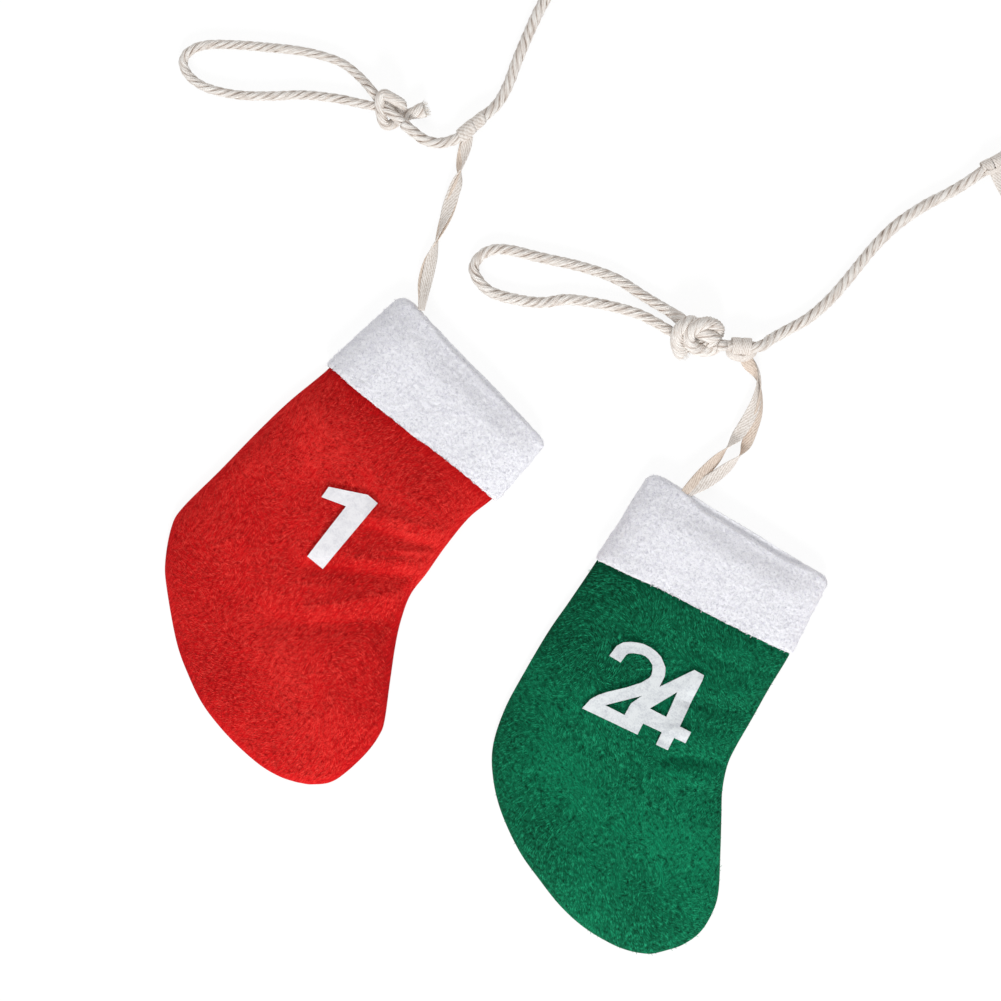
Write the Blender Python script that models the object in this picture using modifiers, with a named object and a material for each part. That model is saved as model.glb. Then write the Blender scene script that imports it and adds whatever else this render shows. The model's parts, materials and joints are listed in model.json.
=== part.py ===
"""A garland calendar: small felt stockings numbered 1 to 24, tied by cotton tapes to one cotton rope.

The garland lies flat on a table. Stockings 1 and 24 lie by the rope's two ends, and the stockings between
them lie in two rows beside the rope, which doubles back at the far end. Every stocking turns on the rope.
Lengths are in metres, +Z is up, and the origin is at the middle of the stockings, at table height.
"""

import math

import bmesh
import bpy
from mathutils import Matrix, Vector

MM = 0.001
PHOTO_PIXEL = 0.4 * MM  # one pixel of the photographed layout, in real size
PHOTO_CENTRE = 500.5  # the pixel that the layout is measured from
GAP = 0.3 * MM  # between soft pieces that touch

# Rope
ROPE_THICK = 4.5 * MM
ROPE_ON_TAPE = 3.75 * MM  # height of the rope's centre where a tape is tied round it
ROPE_BY_KNOT = 5.6 * MM  # the same, at the tie that a knot lifts
ROPE_ON_TABLE = 2.3 * MM  # height of the rope's centre elsewhere
KNOT_LEAD = 2.7 * MM  # of rope past the last turn of a knot
WRAP_GAP = 0.8 * MM  # between neighbouring turns of a knot
FIRST_KNOT_TURNS = 2.0
LAST_KNOT_TURNS = 3.0
LOOP_POINTS = 24
FIRST_TAIL = 10.0 * MM  # of the rope's cut end past its knot
LAST_TAIL = 4.0 * MM
TAIL_SHARES = ((0.3, 0.55), (0.65, 0.7), (1.0, 0.4))  # along the tail, and its rise in rope thicknesses
KNOT_POINTS_A_TURN = 10
GAP_POINTS = 12  # read between two points when the least gap is measured
START_POINTS = 7  # of the line between the first knot and the first tie
LEAVE_POINTS = 14  # from there to the upper row
ARRIVE_POINTS = 16  # from the lower row to the last tie

# Felt bag
FELT = 1.4 * MM
SEAM = 4.0 * MM
SEAM_ROOM = 0.4 * MM  # between the two panels, where the seam starts
LEG_WIDTH = 84.0 * MM
LEG_DROP = 137.0 * MM  # from the cuff's lower edge to the sole
TOE_REACH = {"red": 28.0 * MM, "green": 18.0 * MM}
BAG_HEIGHT = 10.4 * MM
MOUTH_HEIGHT = 8.4 * MM

# Cuff
FLEECE = 2.0 * MM
CUFF_WIDTH = 88.0 * MM
CUFF_BACK = 41.0 * MM
CUFF_FRONT = 33.0 * MM
CUFF_OVERHANG = 0.8 * MM  # how far the cuff stands past the leg's back edge
CUFF_LEAN = 5.8 * MM  # how far its back edge leans forward at the mouth
CUFF_FLARE = 0.8 * MM
CUFF_CORNER = 3.5 * MM

# Hanger tape
TAPE_WIDTH = 5.0 * MM
STRAP_WIDTH = 4.6 * MM  # of the two layers together
TAPE_THICK = 1.4 * MM  # two layers of tape
TAPE_DROP = 66.0 * MM  # from the rope to the mouth
TAPE_INSET = 17.0 * MM  # from the leg's back edge
TAPE_SEWN = 5.0 * MM  # the length that is sewn inside the mouth
COLLAR_LENGTH = 10.0 * MM
COLLAR_WALL = 0.8 * MM
COLLAR_GROOVE = 0.4 * MM
BIGHT_THICK = 1.2 * MM
BIGHT_HEIGHT = 3.4 * MM
STRAP_LOW = 1.1 * MM  # how far below the rope's centre the strap leaves the bight
WELD = 0.5 * MM  # how deep pieces of one solid reach into each other

# Numbers
NUMBER_THICK = 1.5 * MM
NUMBER_HEIGHT = 34.0 * MM
NUMBER_ONE_PLACE = (32.1 * MM, -62.0 * MM)
NUMBER_LAST_PLACE = (20.3 * MM, -56.3 * MM)

# Garland
STOCKINGS = 24
UPPER_ROW = 12  # stockings 2 to 13
HEEL_REACH = 7.5 * MM  # how far a heel stands past the leg's back corner
NEIGHBOUR_GAP = 4.0 * MM  # between neighbours in a row
UPPER_START = (75.0 * MM, 212.0 * MM)
LOWER_START = (230.0 * MM, 134.0 * MM)
SIDE_SHIFT = 34.0 * MM  # how far stocking 23 lies aside of its place on the rope
SIDE_TIE_ANGLE = math.radians(25.0)
BEND_REACH = 15.0 * MM  # from the last tie of a row to the rope's bend
BEND_STEPS = 6
TIE_ROOM = 1.2 * MM  # of straight rope past each side of a tie
FIRST_CORNER = (325, 367)  # pixel of the leg's back corner under the cuff
FIRST_TIE = (472, 128)  # pixel where the tape is tied to the rope
FIRST_ANGLE = math.radians(-40.0)
FIRST_TIE_ANGLE = math.radians(40.0)
LAST_CORNER = (594, 562)
LAST_TIE = (740, 347)
LAST_ANGLE = math.radians(-25.0)
LAST_TIE_ANGLE = math.radians(-3.0)

# Sections across the bag from the cuff to the toe: back edge (share of the leg's width, of the toe's
# reach, of the drop), front edge (the same), share of the bag's height, and whether the pocket follows it.
SECTION_SHARES = (
    ((-0.024, 0.0, 0.124), (1.0, 0.0, 0.124), 1.0, True),
    ((-0.068, 0.0, 0.35), (0.955, 0.12, 0.33), 1.0, True),
    ((-0.089, 0.0, 0.54), (0.92, 0.42, 0.445), 1.0, False),
    ((-0.03, 0.0, 0.68), (0.92, 0.66, 0.54), 0.99, True),
    ((0.14, 0.0, 0.805), (0.955, 0.9, 0.645), 0.96, False),
    ((0.36, 0.0, 0.915), (0.985, 1.0, 0.745), 0.9, True),
    ((0.58, 0.2, 0.982), (1.0, 1.0, 0.83), 0.79, False),
    ((0.63, 0.85, 1.0), (0.955, 1.02, 0.905), 0.6, True),
    ((0.72, 1.08, 0.99), (0.875, 1.1, 0.95), 0.4, False),
)
FLAT_FROM_SHARE = 0.24
FLAT_TO_SHARE = 0.78
SHOULDER_FROM_SHARE = 0.08
SHOULDER_TO_SHARE = 0.93
SHOULDER_RISE_SHARE = 0.6
# Rings along the cuff: share of its drop, pull of the back corner, of the front corner, of the height
CUFF_RING_SHARES = (
    (0.0, 0.0, 0.0, 0.0),
    (0.9, 0.0, 0.0, 0.0),
    (1.0, 1.0, 0.75, 0.3),
)
COLLAR_STEPS = 8

ONE_SHARES = (
    (0.013, 0.635), (0.0, 0.779), (0.407, 1.0), (0.559, 1.0), (0.559, 0.0), (0.328, 0.0), (0.3, 0.736),
)
LAST_OUTLINE_SHARES = (
    (0.026, 0.708), (0.057, 0.851), (0.11, 0.917), (0.189, 0.961), (0.26, 0.985), (0.328, 1.0),
    (0.42, 0.998), (0.507, 0.981), (0.58, 0.948), (0.637, 0.898), (0.675, 0.86), (0.693, 0.82),
    (0.71, 0.77), (0.711, 0.724), (0.707, 0.623), (0.993, 0.976), (1.117, 0.968), (1.125, 0.916),
    (1.115, 0.31), (1.26, 0.305), (1.258, 0.161), (1.111, 0.161), (1.107, 0.0), (0.956, 0.0),
    (0.956, 0.159), (0.715, 0.159), (0.711, 0.015), (0.0, 0.02), (0.041, 0.156), (0.1, 0.238),
    (0.178, 0.312), (0.369, 0.462), (0.497, 0.581), (0.559, 0.672), (0.565, 0.715), (0.556, 0.756),
    (0.528, 0.822), (0.461, 0.865), (0.41, 0.88), (0.358, 0.879), (0.265, 0.853), (0.215, 0.825),
    (0.199, 0.799), (0.177, 0.693),
)
LAST_HOLE_SHARES = (
    ((0.226, 0.167), (0.571, 0.449), (0.491, 0.313), (0.479, 0.158)),
    ((0.712, 0.351), (0.923, 0.662), (0.928, 0.343)),
)

# The rope's route in the layout, chosen by hand: pixels of the photographed layout
FIRST_LOOP_ROUTE = (
    (340, 100), (306, 96), (273, 97), (239, 96), (208, 89), (190, 77), (184, 62), (190, 50), (208, 44),
    (235, 44), (262, 46), (306, 51), (340, 62), (360, 78),
)
LAST_LOOP_ROUTE = (
    (634, 313), (603, 305), (568, 300), (544, 303), (521, 301), (492, 293), (478, 280), (474, 267),
    (484, 254), (504, 250), (544, 259), (580, 267), (615, 279), (644, 297),
)
FIRST_KNOT = (390, 112)
FIRST_KNOT_ANGLE = math.radians(-45.0)
LAST_KNOT = (692, 336)
LAST_KNOT_ANGLE = math.radians(-21.0)
FIRST_LEAD_ROUTE = (((424, 141), 4.6), ((438, 144), 2.6), ((450, 142), 2.6))
FIRST_LEAVE_ROUTE = ((498, 104), (508, 86), (517, 62), (527, 38), (538, 14), (551, -8), (575, -24), (610, -29))
LAST_ARRIVE_ROUTE = (
    (952, 190), (926, 204), (895, 226), (870, 251), (850, 276),
    (829, 300), (807, 319), (782, 333),
)
# Heights of the hangers of the two stockings at the rope's ends, widths and twists, at their own pixels
FIRST_HANGER_ROUTE = (
    ((475, 138), 3.4, 3.6, 0.0), ((470, 151), 3.2, 4.4, 0.0), ((463, 170), 3.2, 4.0, 75.0),
    ((457, 186), 3.0, 4.6, 150.0), ((449, 208), 3.0, 4.6, 190.0), ((440, 235), 3.3, 4.2, 270.0),
    ((431, 262), 3.6, 4.6, 345.0), ((426, 284), 4.3, 4.6, 360.0),
)
LAST_HANGER_ROUTE = (
    ((743, 360), 4.6, 4.6, 0.0), ((748, 370), 3.6, 4.6, 0.0), ((757, 391), 3.2, 4.0, 60.0),
    ((751, 415), 2.2, 5.0, 150.0), ((742, 432), 2.0, 7.0, 180.0), ((722, 458), 2.2, 8.0, 180.0),
    ((701, 480), 4.0, 6.0, 180.0),
)

COLOURS = {
    "felt_red": ((0.56, 0.010, 0.012), 0.95),
    "felt_green": ((0.005, 0.125, 0.058), 0.95),
    "fleece_white": ((0.80, 0.80, 0.84), 0.95),
    "felt_white": ((0.84, 0.83, 0.86), 0.95),
    "cotton_rope": ((0.78, 0.71, 0.64), 0.9),
    "cotton_tape": ((0.76, 0.69, 0.61), 0.9),
}


def material(name):
    """Return the named material, made on its first use."""
    found = bpy.data.materials.get(name)
    if found:
        return found
    made = bpy.data.materials.new(name)
    made.use_nodes = True
    shader = made.node_tree.nodes["Principled BSDF"]
    colour, roughness = COLOURS[name]
    shader.inputs["Base Color"].default_value = (*colour, 1.0)
    shader.inputs["Roughness"].default_value = roughness
    shader.inputs["Metallic"].default_value = 0.0
    return made


def layout_point(pixel, height=0.0):
    """Turn a pixel of the photographed layout into a point on the table."""
    return Vector(((pixel[0] - PHOTO_CENTRE) * PHOTO_PIXEL, (PHOTO_CENTRE - pixel[1]) * PHOTO_PIXEL, height))


def lerp(a, b, share):
    """Mix two numbers or vectors."""
    return a + (b - a) * share


def smooth_route(points, steps):
    """Read points from one smooth curve that passes through the route's own points."""
    route = []
    for k in range(len(points) - 1):
        before = points[max(k - 1, 0)]
        start, end = points[k], points[k + 1]
        after = points[min(k + 2, len(points) - 1)]
        for j in range(steps):
            t = j / steps
            route.append(
                0.5 * (
                    2 * start
                    + (end - before) * t
                    + (2 * before - 5 * start + 4 * end - after) * t ** 2
                    + (3 * start - before - 3 * end + after) * t ** 3
                )
            )
    route.append(points[-1])
    return route


def even_route(points, count):
    """Read a given count of evenly spaced points from the smooth curve through the points."""
    fine = smooth_route(points, KNOT_POINTS_A_TURN)
    marks = [0.0]
    for a, b in zip(fine, fine[1:]):
        marks.append(marks[-1] + (b - a).length)
    route = []
    k = 0
    for j in range(count):
        goal = marks[-1] * j / (count - 1)
        while k < len(fine) - 2 and marks[k + 1] < goal:
            k += 1
        route.append(fine[k].lerp(fine[k + 1], (goal - marks[k]) / max(marks[k + 1] - marks[k], GAP * GAP)))
    return route


def route_length(points):
    """Add up the lengths between points."""
    return sum((b - a).length for a, b in zip(points, points[1:]))


def least_gap(points, thick):
    """Measure how near a rope of this thickness comes to itself, leaving out its next few steps."""
    fine = even_route(points, GAP_POINTS * len(points))
    step = route_length(fine) / (len(fine) - 1)
    apart = int(math.pi * thick / step) + 1
    least = min(
        (a - b).length for k, a in enumerate(fine) for b in fine[k + apart:]
    )
    return least - thick


class Garland:
    """Builds the garland's pieces under one empty, in one collection."""

    def __init__(self):
        self.collection = bpy.data.collections.new("sock_advent_calendar")
        bpy.context.scene.collection.children.link(self.collection)
        self.root = self.empty("garland", Vector((0.0, 0.0, 0.0)), None)
        self.shared = {}

    def empty(self, name, place, parent):
        """Add an empty that carries other pieces."""
        empty = bpy.data.objects.new(name, None)
        empty.location = place
        empty.parent = parent
        self.collection.objects.link(empty)
        return empty

    def add(self, name, data, parent, place=(0.0, 0.0, 0.0), turn=0.0):
        """Add a piece from mesh or curve data at its place under its parent."""
        piece = bpy.data.objects.new(name, data)
        piece.location = place
        piece.rotation_euler = (0.0, 0.0, turn)
        piece.parent = parent
        self.collection.objects.link(piece)
        return piece

    def drop(self, piece):
        """Remove a helper piece."""
        bpy.data.objects.remove(piece, do_unlink=True)

    def baked(self, piece, name):
        """Return a mesh of the piece as its modifiers leave it."""
        graph = bpy.context.evaluated_depsgraph_get()
        mesh = bpy.data.meshes.new_from_object(piece.evaluated_get(graph), depsgraph=graph)
        mesh.name = name
        return mesh


def mesh_from_rings(name, rings, materials, closed_tube):
    """Join rings of points into one closed surface: a tube with end caps, or a tube bent into itself."""
    form = bmesh.new()
    rows = [[form.verts.new(point) for point in ring] for ring in rings]
    count = len(rows[0])
    pairs = list(zip(rows, rows[1:]))
    if closed_tube:
        pairs.append((rows[-1], rows[0]))
    else:
        form.faces.new(rows[0])
        form.faces.new(rows[-1])
    for here, there in pairs:
        for k in range(count):
            form.faces.new((here[k], here[(k + 1) % count], there[(k + 1) % count], there[k]))
    bmesh.ops.recalc_face_normals(form, faces=form.faces)
    mesh = bpy.data.meshes.new(name)
    form.to_mesh(mesh)
    form.free()
    for slot in materials:
        mesh.materials.append(material(slot))
    mesh.shade_smooth()
    mesh.set_sharp_from_angle(angle=math.radians(35.0))
    return mesh


def section(back, front, base, height, edge):
    """Return the ring of a section from the back edge to the front edge: flat below, crowned above."""
    shoulder = base + edge + SHOULDER_RISE_SHARE * (height - edge)
    stations = (
        (0.0, base),
        (0.0, base + edge),
        (SHOULDER_FROM_SHARE, shoulder),
        (FLAT_FROM_SHARE, base + height),
        (FLAT_TO_SHARE, base + height),
        (SHOULDER_TO_SHARE, shoulder),
        (1.0, base + edge),
        (1.0, base),
    )
    return [Vector((*lerp(back, front, share), z)) for share, z in stations]


def cuff_edges(share):
    """Return the cuff's back and front edge at a share of its drop, measured up from its lower edge."""
    back = lerp(Vector((-CUFF_OVERHANG, 0.0)), Vector((CUFF_LEAN - CUFF_OVERHANG, CUFF_BACK)), share)
    low_front = CUFF_WIDTH - CUFF_OVERHANG
    front = lerp(Vector((low_front, 0.0)), Vector((low_front + CUFF_FLARE, CUFF_FRONT)), share)
    return back, front


def rim_share():
    """Return where the bag's rim lies under the cuff's rolled lip, as a share of the cuff's drop."""
    return 1.0 - (FLEECE + GAP) / CUFF_FRONT


def bag_sections(colour):
    """Return the bag's sections from its rim to its toe: back, front, base, height, and if it has a pocket."""
    inset = Vector((FLEECE + GAP, 0.0))
    base = FLEECE + GAP
    sections = []
    for share in (rim_share(), 0.0):
        back, front = cuff_edges(share)
        sections.append((back + inset, front - inset, base, MOUTH_HEIGHT, True))
    for back, front, crown_share, hollow in SECTION_SHARES:
        ends = [
            Vector((leg * LEG_WIDTH + toe * TOE_REACH[colour], -drop * LEG_DROP))
            for leg, toe, drop in (back, front)
        ]
        sections.append((*ends, 0.0, crown_share * BAG_HEIGHT, hollow))
    return sections


def bag_mesh(colour):
    """Loft the felt bag: an outer skin from rim to toe, and the pocket inside it."""
    edge = 2 * FELT + SEAM_ROOM
    outer = []
    inner = []
    for back, front, base, height, hollow in bag_sections(colour):
        outer.append(section(back, front, base, height, edge))
        if hollow:
            side = (front - back).normalized() * SEAM
            inner.append(section(back + side, front - side, base + FELT, height - 2 * FELT, SEAM_ROOM))
    return mesh_from_rings(f"bag_{colour}", [*reversed(inner), *outer], [f"felt_{colour}"], False)


def cuff_mesh():
    """Loft the cuff: its outer skin, the lip rolled over the bag's rim, and its inner skin."""
    edge = 2 * FELT + SEAM_ROOM
    rings = []
    skin = FLEECE + GAP
    height = MOUTH_HEIGHT + 2 * skin
    for share, back_share, front_share, height_share in CUFF_RING_SHARES:
        back, front = cuff_edges(share)
        back = back + Vector((back_share * CUFF_CORNER, 0.0))
        front = front - Vector((front_share * CUFF_CORNER, 0.0))
        pull = height_share * CUFF_CORNER
        rings.append(section(back, front, 0.0, height - pull, edge + skin))
    for share in (1.0, rim_share()):
        back, front = cuff_edges(share + (1.0 - share) / 2)
        side = Vector((skin + SEAM, 0.0))
        rings.append(section(back + side, front - side, skin + FELT, MOUTH_HEIGHT - 2 * FELT, SEAM_ROOM))
    for share in (rim_share() + GAP / CUFF_FRONT, 0.0):
        back, front = cuff_edges(share)
        side = Vector((FLEECE, 0.0))
        rings.append(section(back + side, front - side, FLEECE, MOUTH_HEIGHT + 2 * GAP, edge + GAP))
    return mesh_from_rings("cuff", rings, ["fleece_white"], True)


def ribbon_mesh(name, route):
    """Sweep a flat tape along a route of (point, width, twist)."""
    rings = []
    for k, (point, width, twist) in enumerate(route):
        ahead = route[min(k + 1, len(route) - 1)][0] - route[max(k - 1, 0)][0]
        level = Vector((-ahead.y, ahead.x, 0.0)).normalized()
        across = Matrix.Rotation(math.radians(twist), 3, ahead.normalized()) @ level
        over = ahead.normalized().cross(across)
        wide = across * width / 2
        thick = over * TAPE_THICK / 2
        rings.append([point + wide + thick, point - wide + thick, point - wide - thick, point + wide - thick])
    return mesh_from_rings(name, rings, ["cotton_tape"], False)


def collar_radius():
    """Return the inner radius of the tape's wraps round the rope."""
    return ROPE_THICK / 2 + GAP


def collar(garland, turn, height):
    """Turn the tape's two wraps round the rope, with the groove between them, about the rope's own line."""
    low = collar_radius() / math.cos(math.pi / COLLAR_STEPS)
    high = low + COLLAR_WALL
    half = COLLAR_LENGTH / 2
    profile = ((high, half), (high - COLLAR_GROOVE, 0.0), (high, -half), (low, -half), (low, half))
    form = bmesh.new()
    points = [form.verts.new((x, 0.0, z)) for x, z in profile]
    for k, point in enumerate(points):
        form.edges.new((point, points[(k + 1) % len(points)]))
    mesh = bpy.data.meshes.new("collar")
    form.to_mesh(mesh)
    form.free()
    mesh.materials.append(material("cotton_tape"))
    piece = garland.add("collar", mesh, None)
    screw = piece.modifiers.new("turn", "SCREW")
    screw.steps = COLLAR_STEPS
    screw.render_steps = COLLAR_STEPS
    screw.use_merge_vertices = True
    screw.merge_threshold = 0.00001
    piece.rotation_euler = (0.0, math.pi / 2, turn)
    piece.location = (0.0, 0.0, height)
    return piece


def bight(garland, turn, height):
    """Lay the tape's bight across the two wraps, on the stocking's side of the rope."""
    form = bmesh.new()
    bmesh.ops.create_cube(form, size=1.0)
    mesh = bpy.data.meshes.new("bight")
    form.to_mesh(mesh)
    form.free()
    mesh.materials.append(material("cotton_tape"))
    piece = garland.add("bight", mesh, None)
    mesh.transform(Matrix.Diagonal((COLLAR_LENGTH - 2 * BIGHT_THICK, BIGHT_THICK, BIGHT_HEIGHT, 1.0)))
    aside = collar_radius() + COLLAR_WALL + BIGHT_THICK / 2 - WELD / 2
    piece.location = Matrix.Rotation(turn, 3, "Z") @ Vector((0.0, -aside, 0.0)) + Vector((0.0, 0.0, height))
    piece.rotation_euler = (0.0, 0.0, turn)
    return piece


def joined(garland, name, first, others):
    """Unite helper pieces into one mesh."""
    for k, other in enumerate(others):
        union = first.modifiers.new(f"join_{k}", "BOOLEAN")
        union.operation = "UNION"
        union.object = other
        other.hide_render = True
        other.display_type = "WIRE"
    bpy.context.view_layer.update()
    mesh = garland.baked(first, name)
    mesh.transform(first.matrix_world)
    for helper in (first, *others):
        garland.drop(helper)
    mesh.set_sharp_from_angle(angle=math.radians(35.0))
    return mesh


def hanger_pieces(garland, route, turn, height):
    """Return the helper pieces of one hanger, with its tie at the helpers' own origin."""
    strap = garland.add("strap", ribbon_mesh("strap", route), None)
    return [collar(garland, turn, height), bight(garland, turn, height), strap]


def mouth_route(corner_at, turn, sunk):
    """Return the tape's last points: over the back rim and down inside the mouth.

    Args:
        corner_at: the leg's back corner, from the tie.
        turn: the stocking's angle.
        sunk: how deep the tape sinks into the lip that carries it.
    """
    share = (TAPE_INSET + CUFF_OVERHANG) / CUFF_WIDTH
    rim = lerp(CUFF_BACK, CUFF_FRONT, share)
    floor = FLEECE + GAP + FELT + TAPE_THICK / 2
    frame = Matrix.Rotation(turn, 3, "Z")
    places = (
        (rim + FLEECE, GAP - sunk),
        (rim - FLEECE / 3, GAP - sunk),
        (rim - FLEECE, GAP),
        (rim - TAPE_SEWN, GAP),
    )
    return [
        (corner_at + frame @ Vector((TAPE_INSET, y, floor + lift)), STRAP_WIDTH, 0.0) for y, lift in places
    ]


def plain_route(corner_at, turn, sunk):
    """Return a straight hanger's route from its tie to the mouth."""
    mouth = mouth_route(corner_at, turn, sunk)
    outward = (mouth[0][0] - Vector((0.0, 0.0, mouth[0][0].z))).normalized()
    start = collar_radius() + COLLAR_WALL - WELD / 2
    low = ROPE_ON_TAPE - STRAP_LOW
    lying = TAPE_THICK / 2 + GAP
    reach = mouth[0][0].to_2d().length
    near = [
        (outward * start + Vector((0.0, 0.0, low)), STRAP_WIDTH, 0.0),
        (outward * (start + 2 * TAPE_WIDTH) + Vector((0.0, 0.0, lying)), STRAP_WIDTH, 0.0),
        (outward * (reach - 2 * TAPE_WIDTH) + Vector((0.0, 0.0, lying)), STRAP_WIDTH, 0.0),
    ]
    return near + mouth


def photographed_route(table, tie, corner_at, turn):
    """Return a seen hanger's route, from its table of pixels, heights, widths and twists."""
    near = [
        (layout_point(pixel, height * MM) - tie, width * MM, twist) for pixel, height, width, twist in table
    ]
    last_twist = table[-1][3]
    return near + [(point, width, last_twist) for point, width, _ in mouth_route(corner_at, turn, 0.0)]


def number_data(name, outlines):
    """Cut a number from thin felt: a flat outline with its holes."""
    curve = bpy.data.curves.new(name, "CURVE")
    curve.dimensions = "2D"
    curve.fill_mode = "BOTH"
    curve.extrude = NUMBER_THICK / 2
    for outline in outlines:
        spline = curve.splines.new("POLY")
        spline.points.add(len(outline) - 1)
        for point, (x, y) in zip(spline.points, outline):
            point.co = (x * NUMBER_HEIGHT, y * NUMBER_HEIGHT, 0.0, 1.0)
        spline.use_cyclic_u = True
    curve.materials.append(material("felt_white"))
    return curve


def rope_data(name, points, resolution):
    """Make a rope of the given points: a round tube with filled ends."""
    curve = bpy.data.curves.new(name, "CURVE")
    curve.dimensions = "3D"
    curve.bevel_depth = ROPE_THICK / 2
    curve.bevel_resolution = resolution
    curve.use_fill_caps = True
    spline = curve.splines.new("POLY")
    spline.points.add(len(points) - 1)
    for point, place in zip(spline.points, points):
        point.co = (*place, 1.0)
    curve.materials.append(material("cotton_rope"))
    return curve


def knot_frame(pixel, angle):
    """Return a knot's middle and its three axes: along the rope, across it, and up."""
    radius = ROPE_THICK + WRAP_GAP
    middle = layout_point(pixel, radius + ROPE_THICK / 2 + GAP)
    along = Vector((math.cos(angle), math.sin(angle), 0.0))
    across = Vector((-math.sin(angle), math.cos(angle), 0.0))
    return middle, along, across, radius


def end_loop_points(pixel, angle, turns, route, tail_reach):
    """Return the path of a tied end: through the knot's core, round the loop, and round the core again."""
    middle, along, across, radius = knot_frame(pixel, angle)
    up = Vector((0.0, 0.0, 1.0))
    pitch = ROPE_THICK + WRAP_GAP
    half = turns * pitch / 2
    core = [
        middle + along * (half + KNOT_LEAD),
        middle + along * half,
        middle - along * half,
        middle - along * (half + ROPE_THICK) - across * GAP,
    ]
    loop = [layout_point(place, ROPE_ON_TABLE) for place in route]
    steps = round(turns * KNOT_POINTS_A_TURN)
    wraps = []
    for k in range(steps + 1):
        share = k / steps
        phase = 2 * math.pi * turns * share
        wraps.append(
            middle
            + along * (lerp(-half, half, share))
            + across * (radius * math.cos(phase))
            + up * (radius * math.sin(phase))
        )
    lead = middle - along * (half + ROPE_THICK) + across * radius
    rise = up * ROPE_THICK * math.cos(2 * math.pi * turns)
    tail = [wraps[-1] + along * tail_reach * reach + rise * lift for reach, lift in TAIL_SHARES]
    through = even_route([*core, *loop, lead, wraps[0]], LOOP_POINTS + 2 * KNOT_POINTS_A_TURN)
    return [*through, *wraps[1:], *tail]


def exit_points(start, angle):
    """Return the line's first two points past a knot, square to the knot's own end."""
    along = Vector((math.cos(angle), math.sin(angle), 0.0))
    return [start + along * GAP, start + along * (GAP + KNOT_LEAD / 2)]


def colour_of(number):
    """Return the felt's colour of a numbered stocking."""
    return "red" if number % 2 else "green"


def row_places():
    """Return where the stockings of the two rows hang, in the rope's own order: 2 to 23."""

    def step(number):
        return HEEL_REACH + LEG_WIDTH + TOE_REACH[colour_of(number)] + NEIGHBOUR_GAP

    places = {}
    across = UPPER_START[0] - step(2)
    for number in range(2, UPPER_ROW + 2):
        across += step(number)
        places[number] = Vector((across, UPPER_START[1], 0.0))
    lower = {}
    across = LOWER_START[0]
    for number in range(STOCKINGS - 1, UPPER_ROW + 1, -1):
        lower[number] = Vector((across, LOWER_START[1], 0.0))
        across += step(number)
    places.update(sorted(lower.items()))
    return places


def line_points(first_exit, last_exit):
    """Return the rope's route between the two knots: past the first tie, along both rows, and back."""
    tie_half = COLLAR_LENGTH / 2 + TIE_ROOM

    def tie(place, angle):
        along = Vector((math.cos(angle), math.sin(angle), 0.0)) * tie_half
        return [place - along, place + along]

    first_tie = tie(layout_point(FIRST_TIE, ROPE_ON_TAPE), FIRST_TIE_ANGLE)
    last_tie = tie(layout_point(LAST_TIE, ROPE_BY_KNOT), LAST_TIE_ANGLE + math.pi)
    up = Vector((0.0, 0.0, ROPE_ON_TAPE))
    upper = []
    lower = []
    for number, place in row_places().items():
        if number < UPPER_ROW + 2:
            upper += tie(place + up, 0.0)
        else:
            slanted = number == STOCKINGS - 1
            shift = Vector((SIDE_SHIFT if slanted else 0.0, 0.0, 0.0))
            lower += tie(place - shift + up, math.pi + (SIDE_TIE_ANGLE if slanted else 0.0))
    bend = (upper[-1] + lower[0]) / 2
    bend_radius = (upper[-1].y - lower[0].y) / 2
    bend_x = max(upper[-1].x, lower[0].x) + BEND_REACH
    around = [
        Vector((
            bend_x + bend_radius * math.sin(math.pi * j / BEND_STEPS),
            bend.y + bend_radius * math.cos(math.pi * j / BEND_STEPS),
            ROPE_ON_TAPE,
        ))
        for j in range(BEND_STEPS + 1)
    ]
    start = even_route(
        [first_exit[1], *(layout_point(p, height * MM) for p, height in FIRST_LEAD_ROUTE), first_tie[0]], START_POINTS
    )
    away = [layout_point(p, ROPE_ON_TABLE) for p in FIRST_LEAVE_ROUTE]
    back = [layout_point(p, ROPE_ON_TABLE) for p in LAST_ARRIVE_ROUTE]
    leave = even_route([first_tie[1], *away, upper[0]], LEAVE_POINTS)
    arrive = even_route([lower[-1], *back, last_tie[0]], ARRIVE_POINTS)
    return [first_exit[0], *start, *leave, *upper[1:], *around, *lower[:-1], *arrive, last_tie[1], *last_exit]


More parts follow.
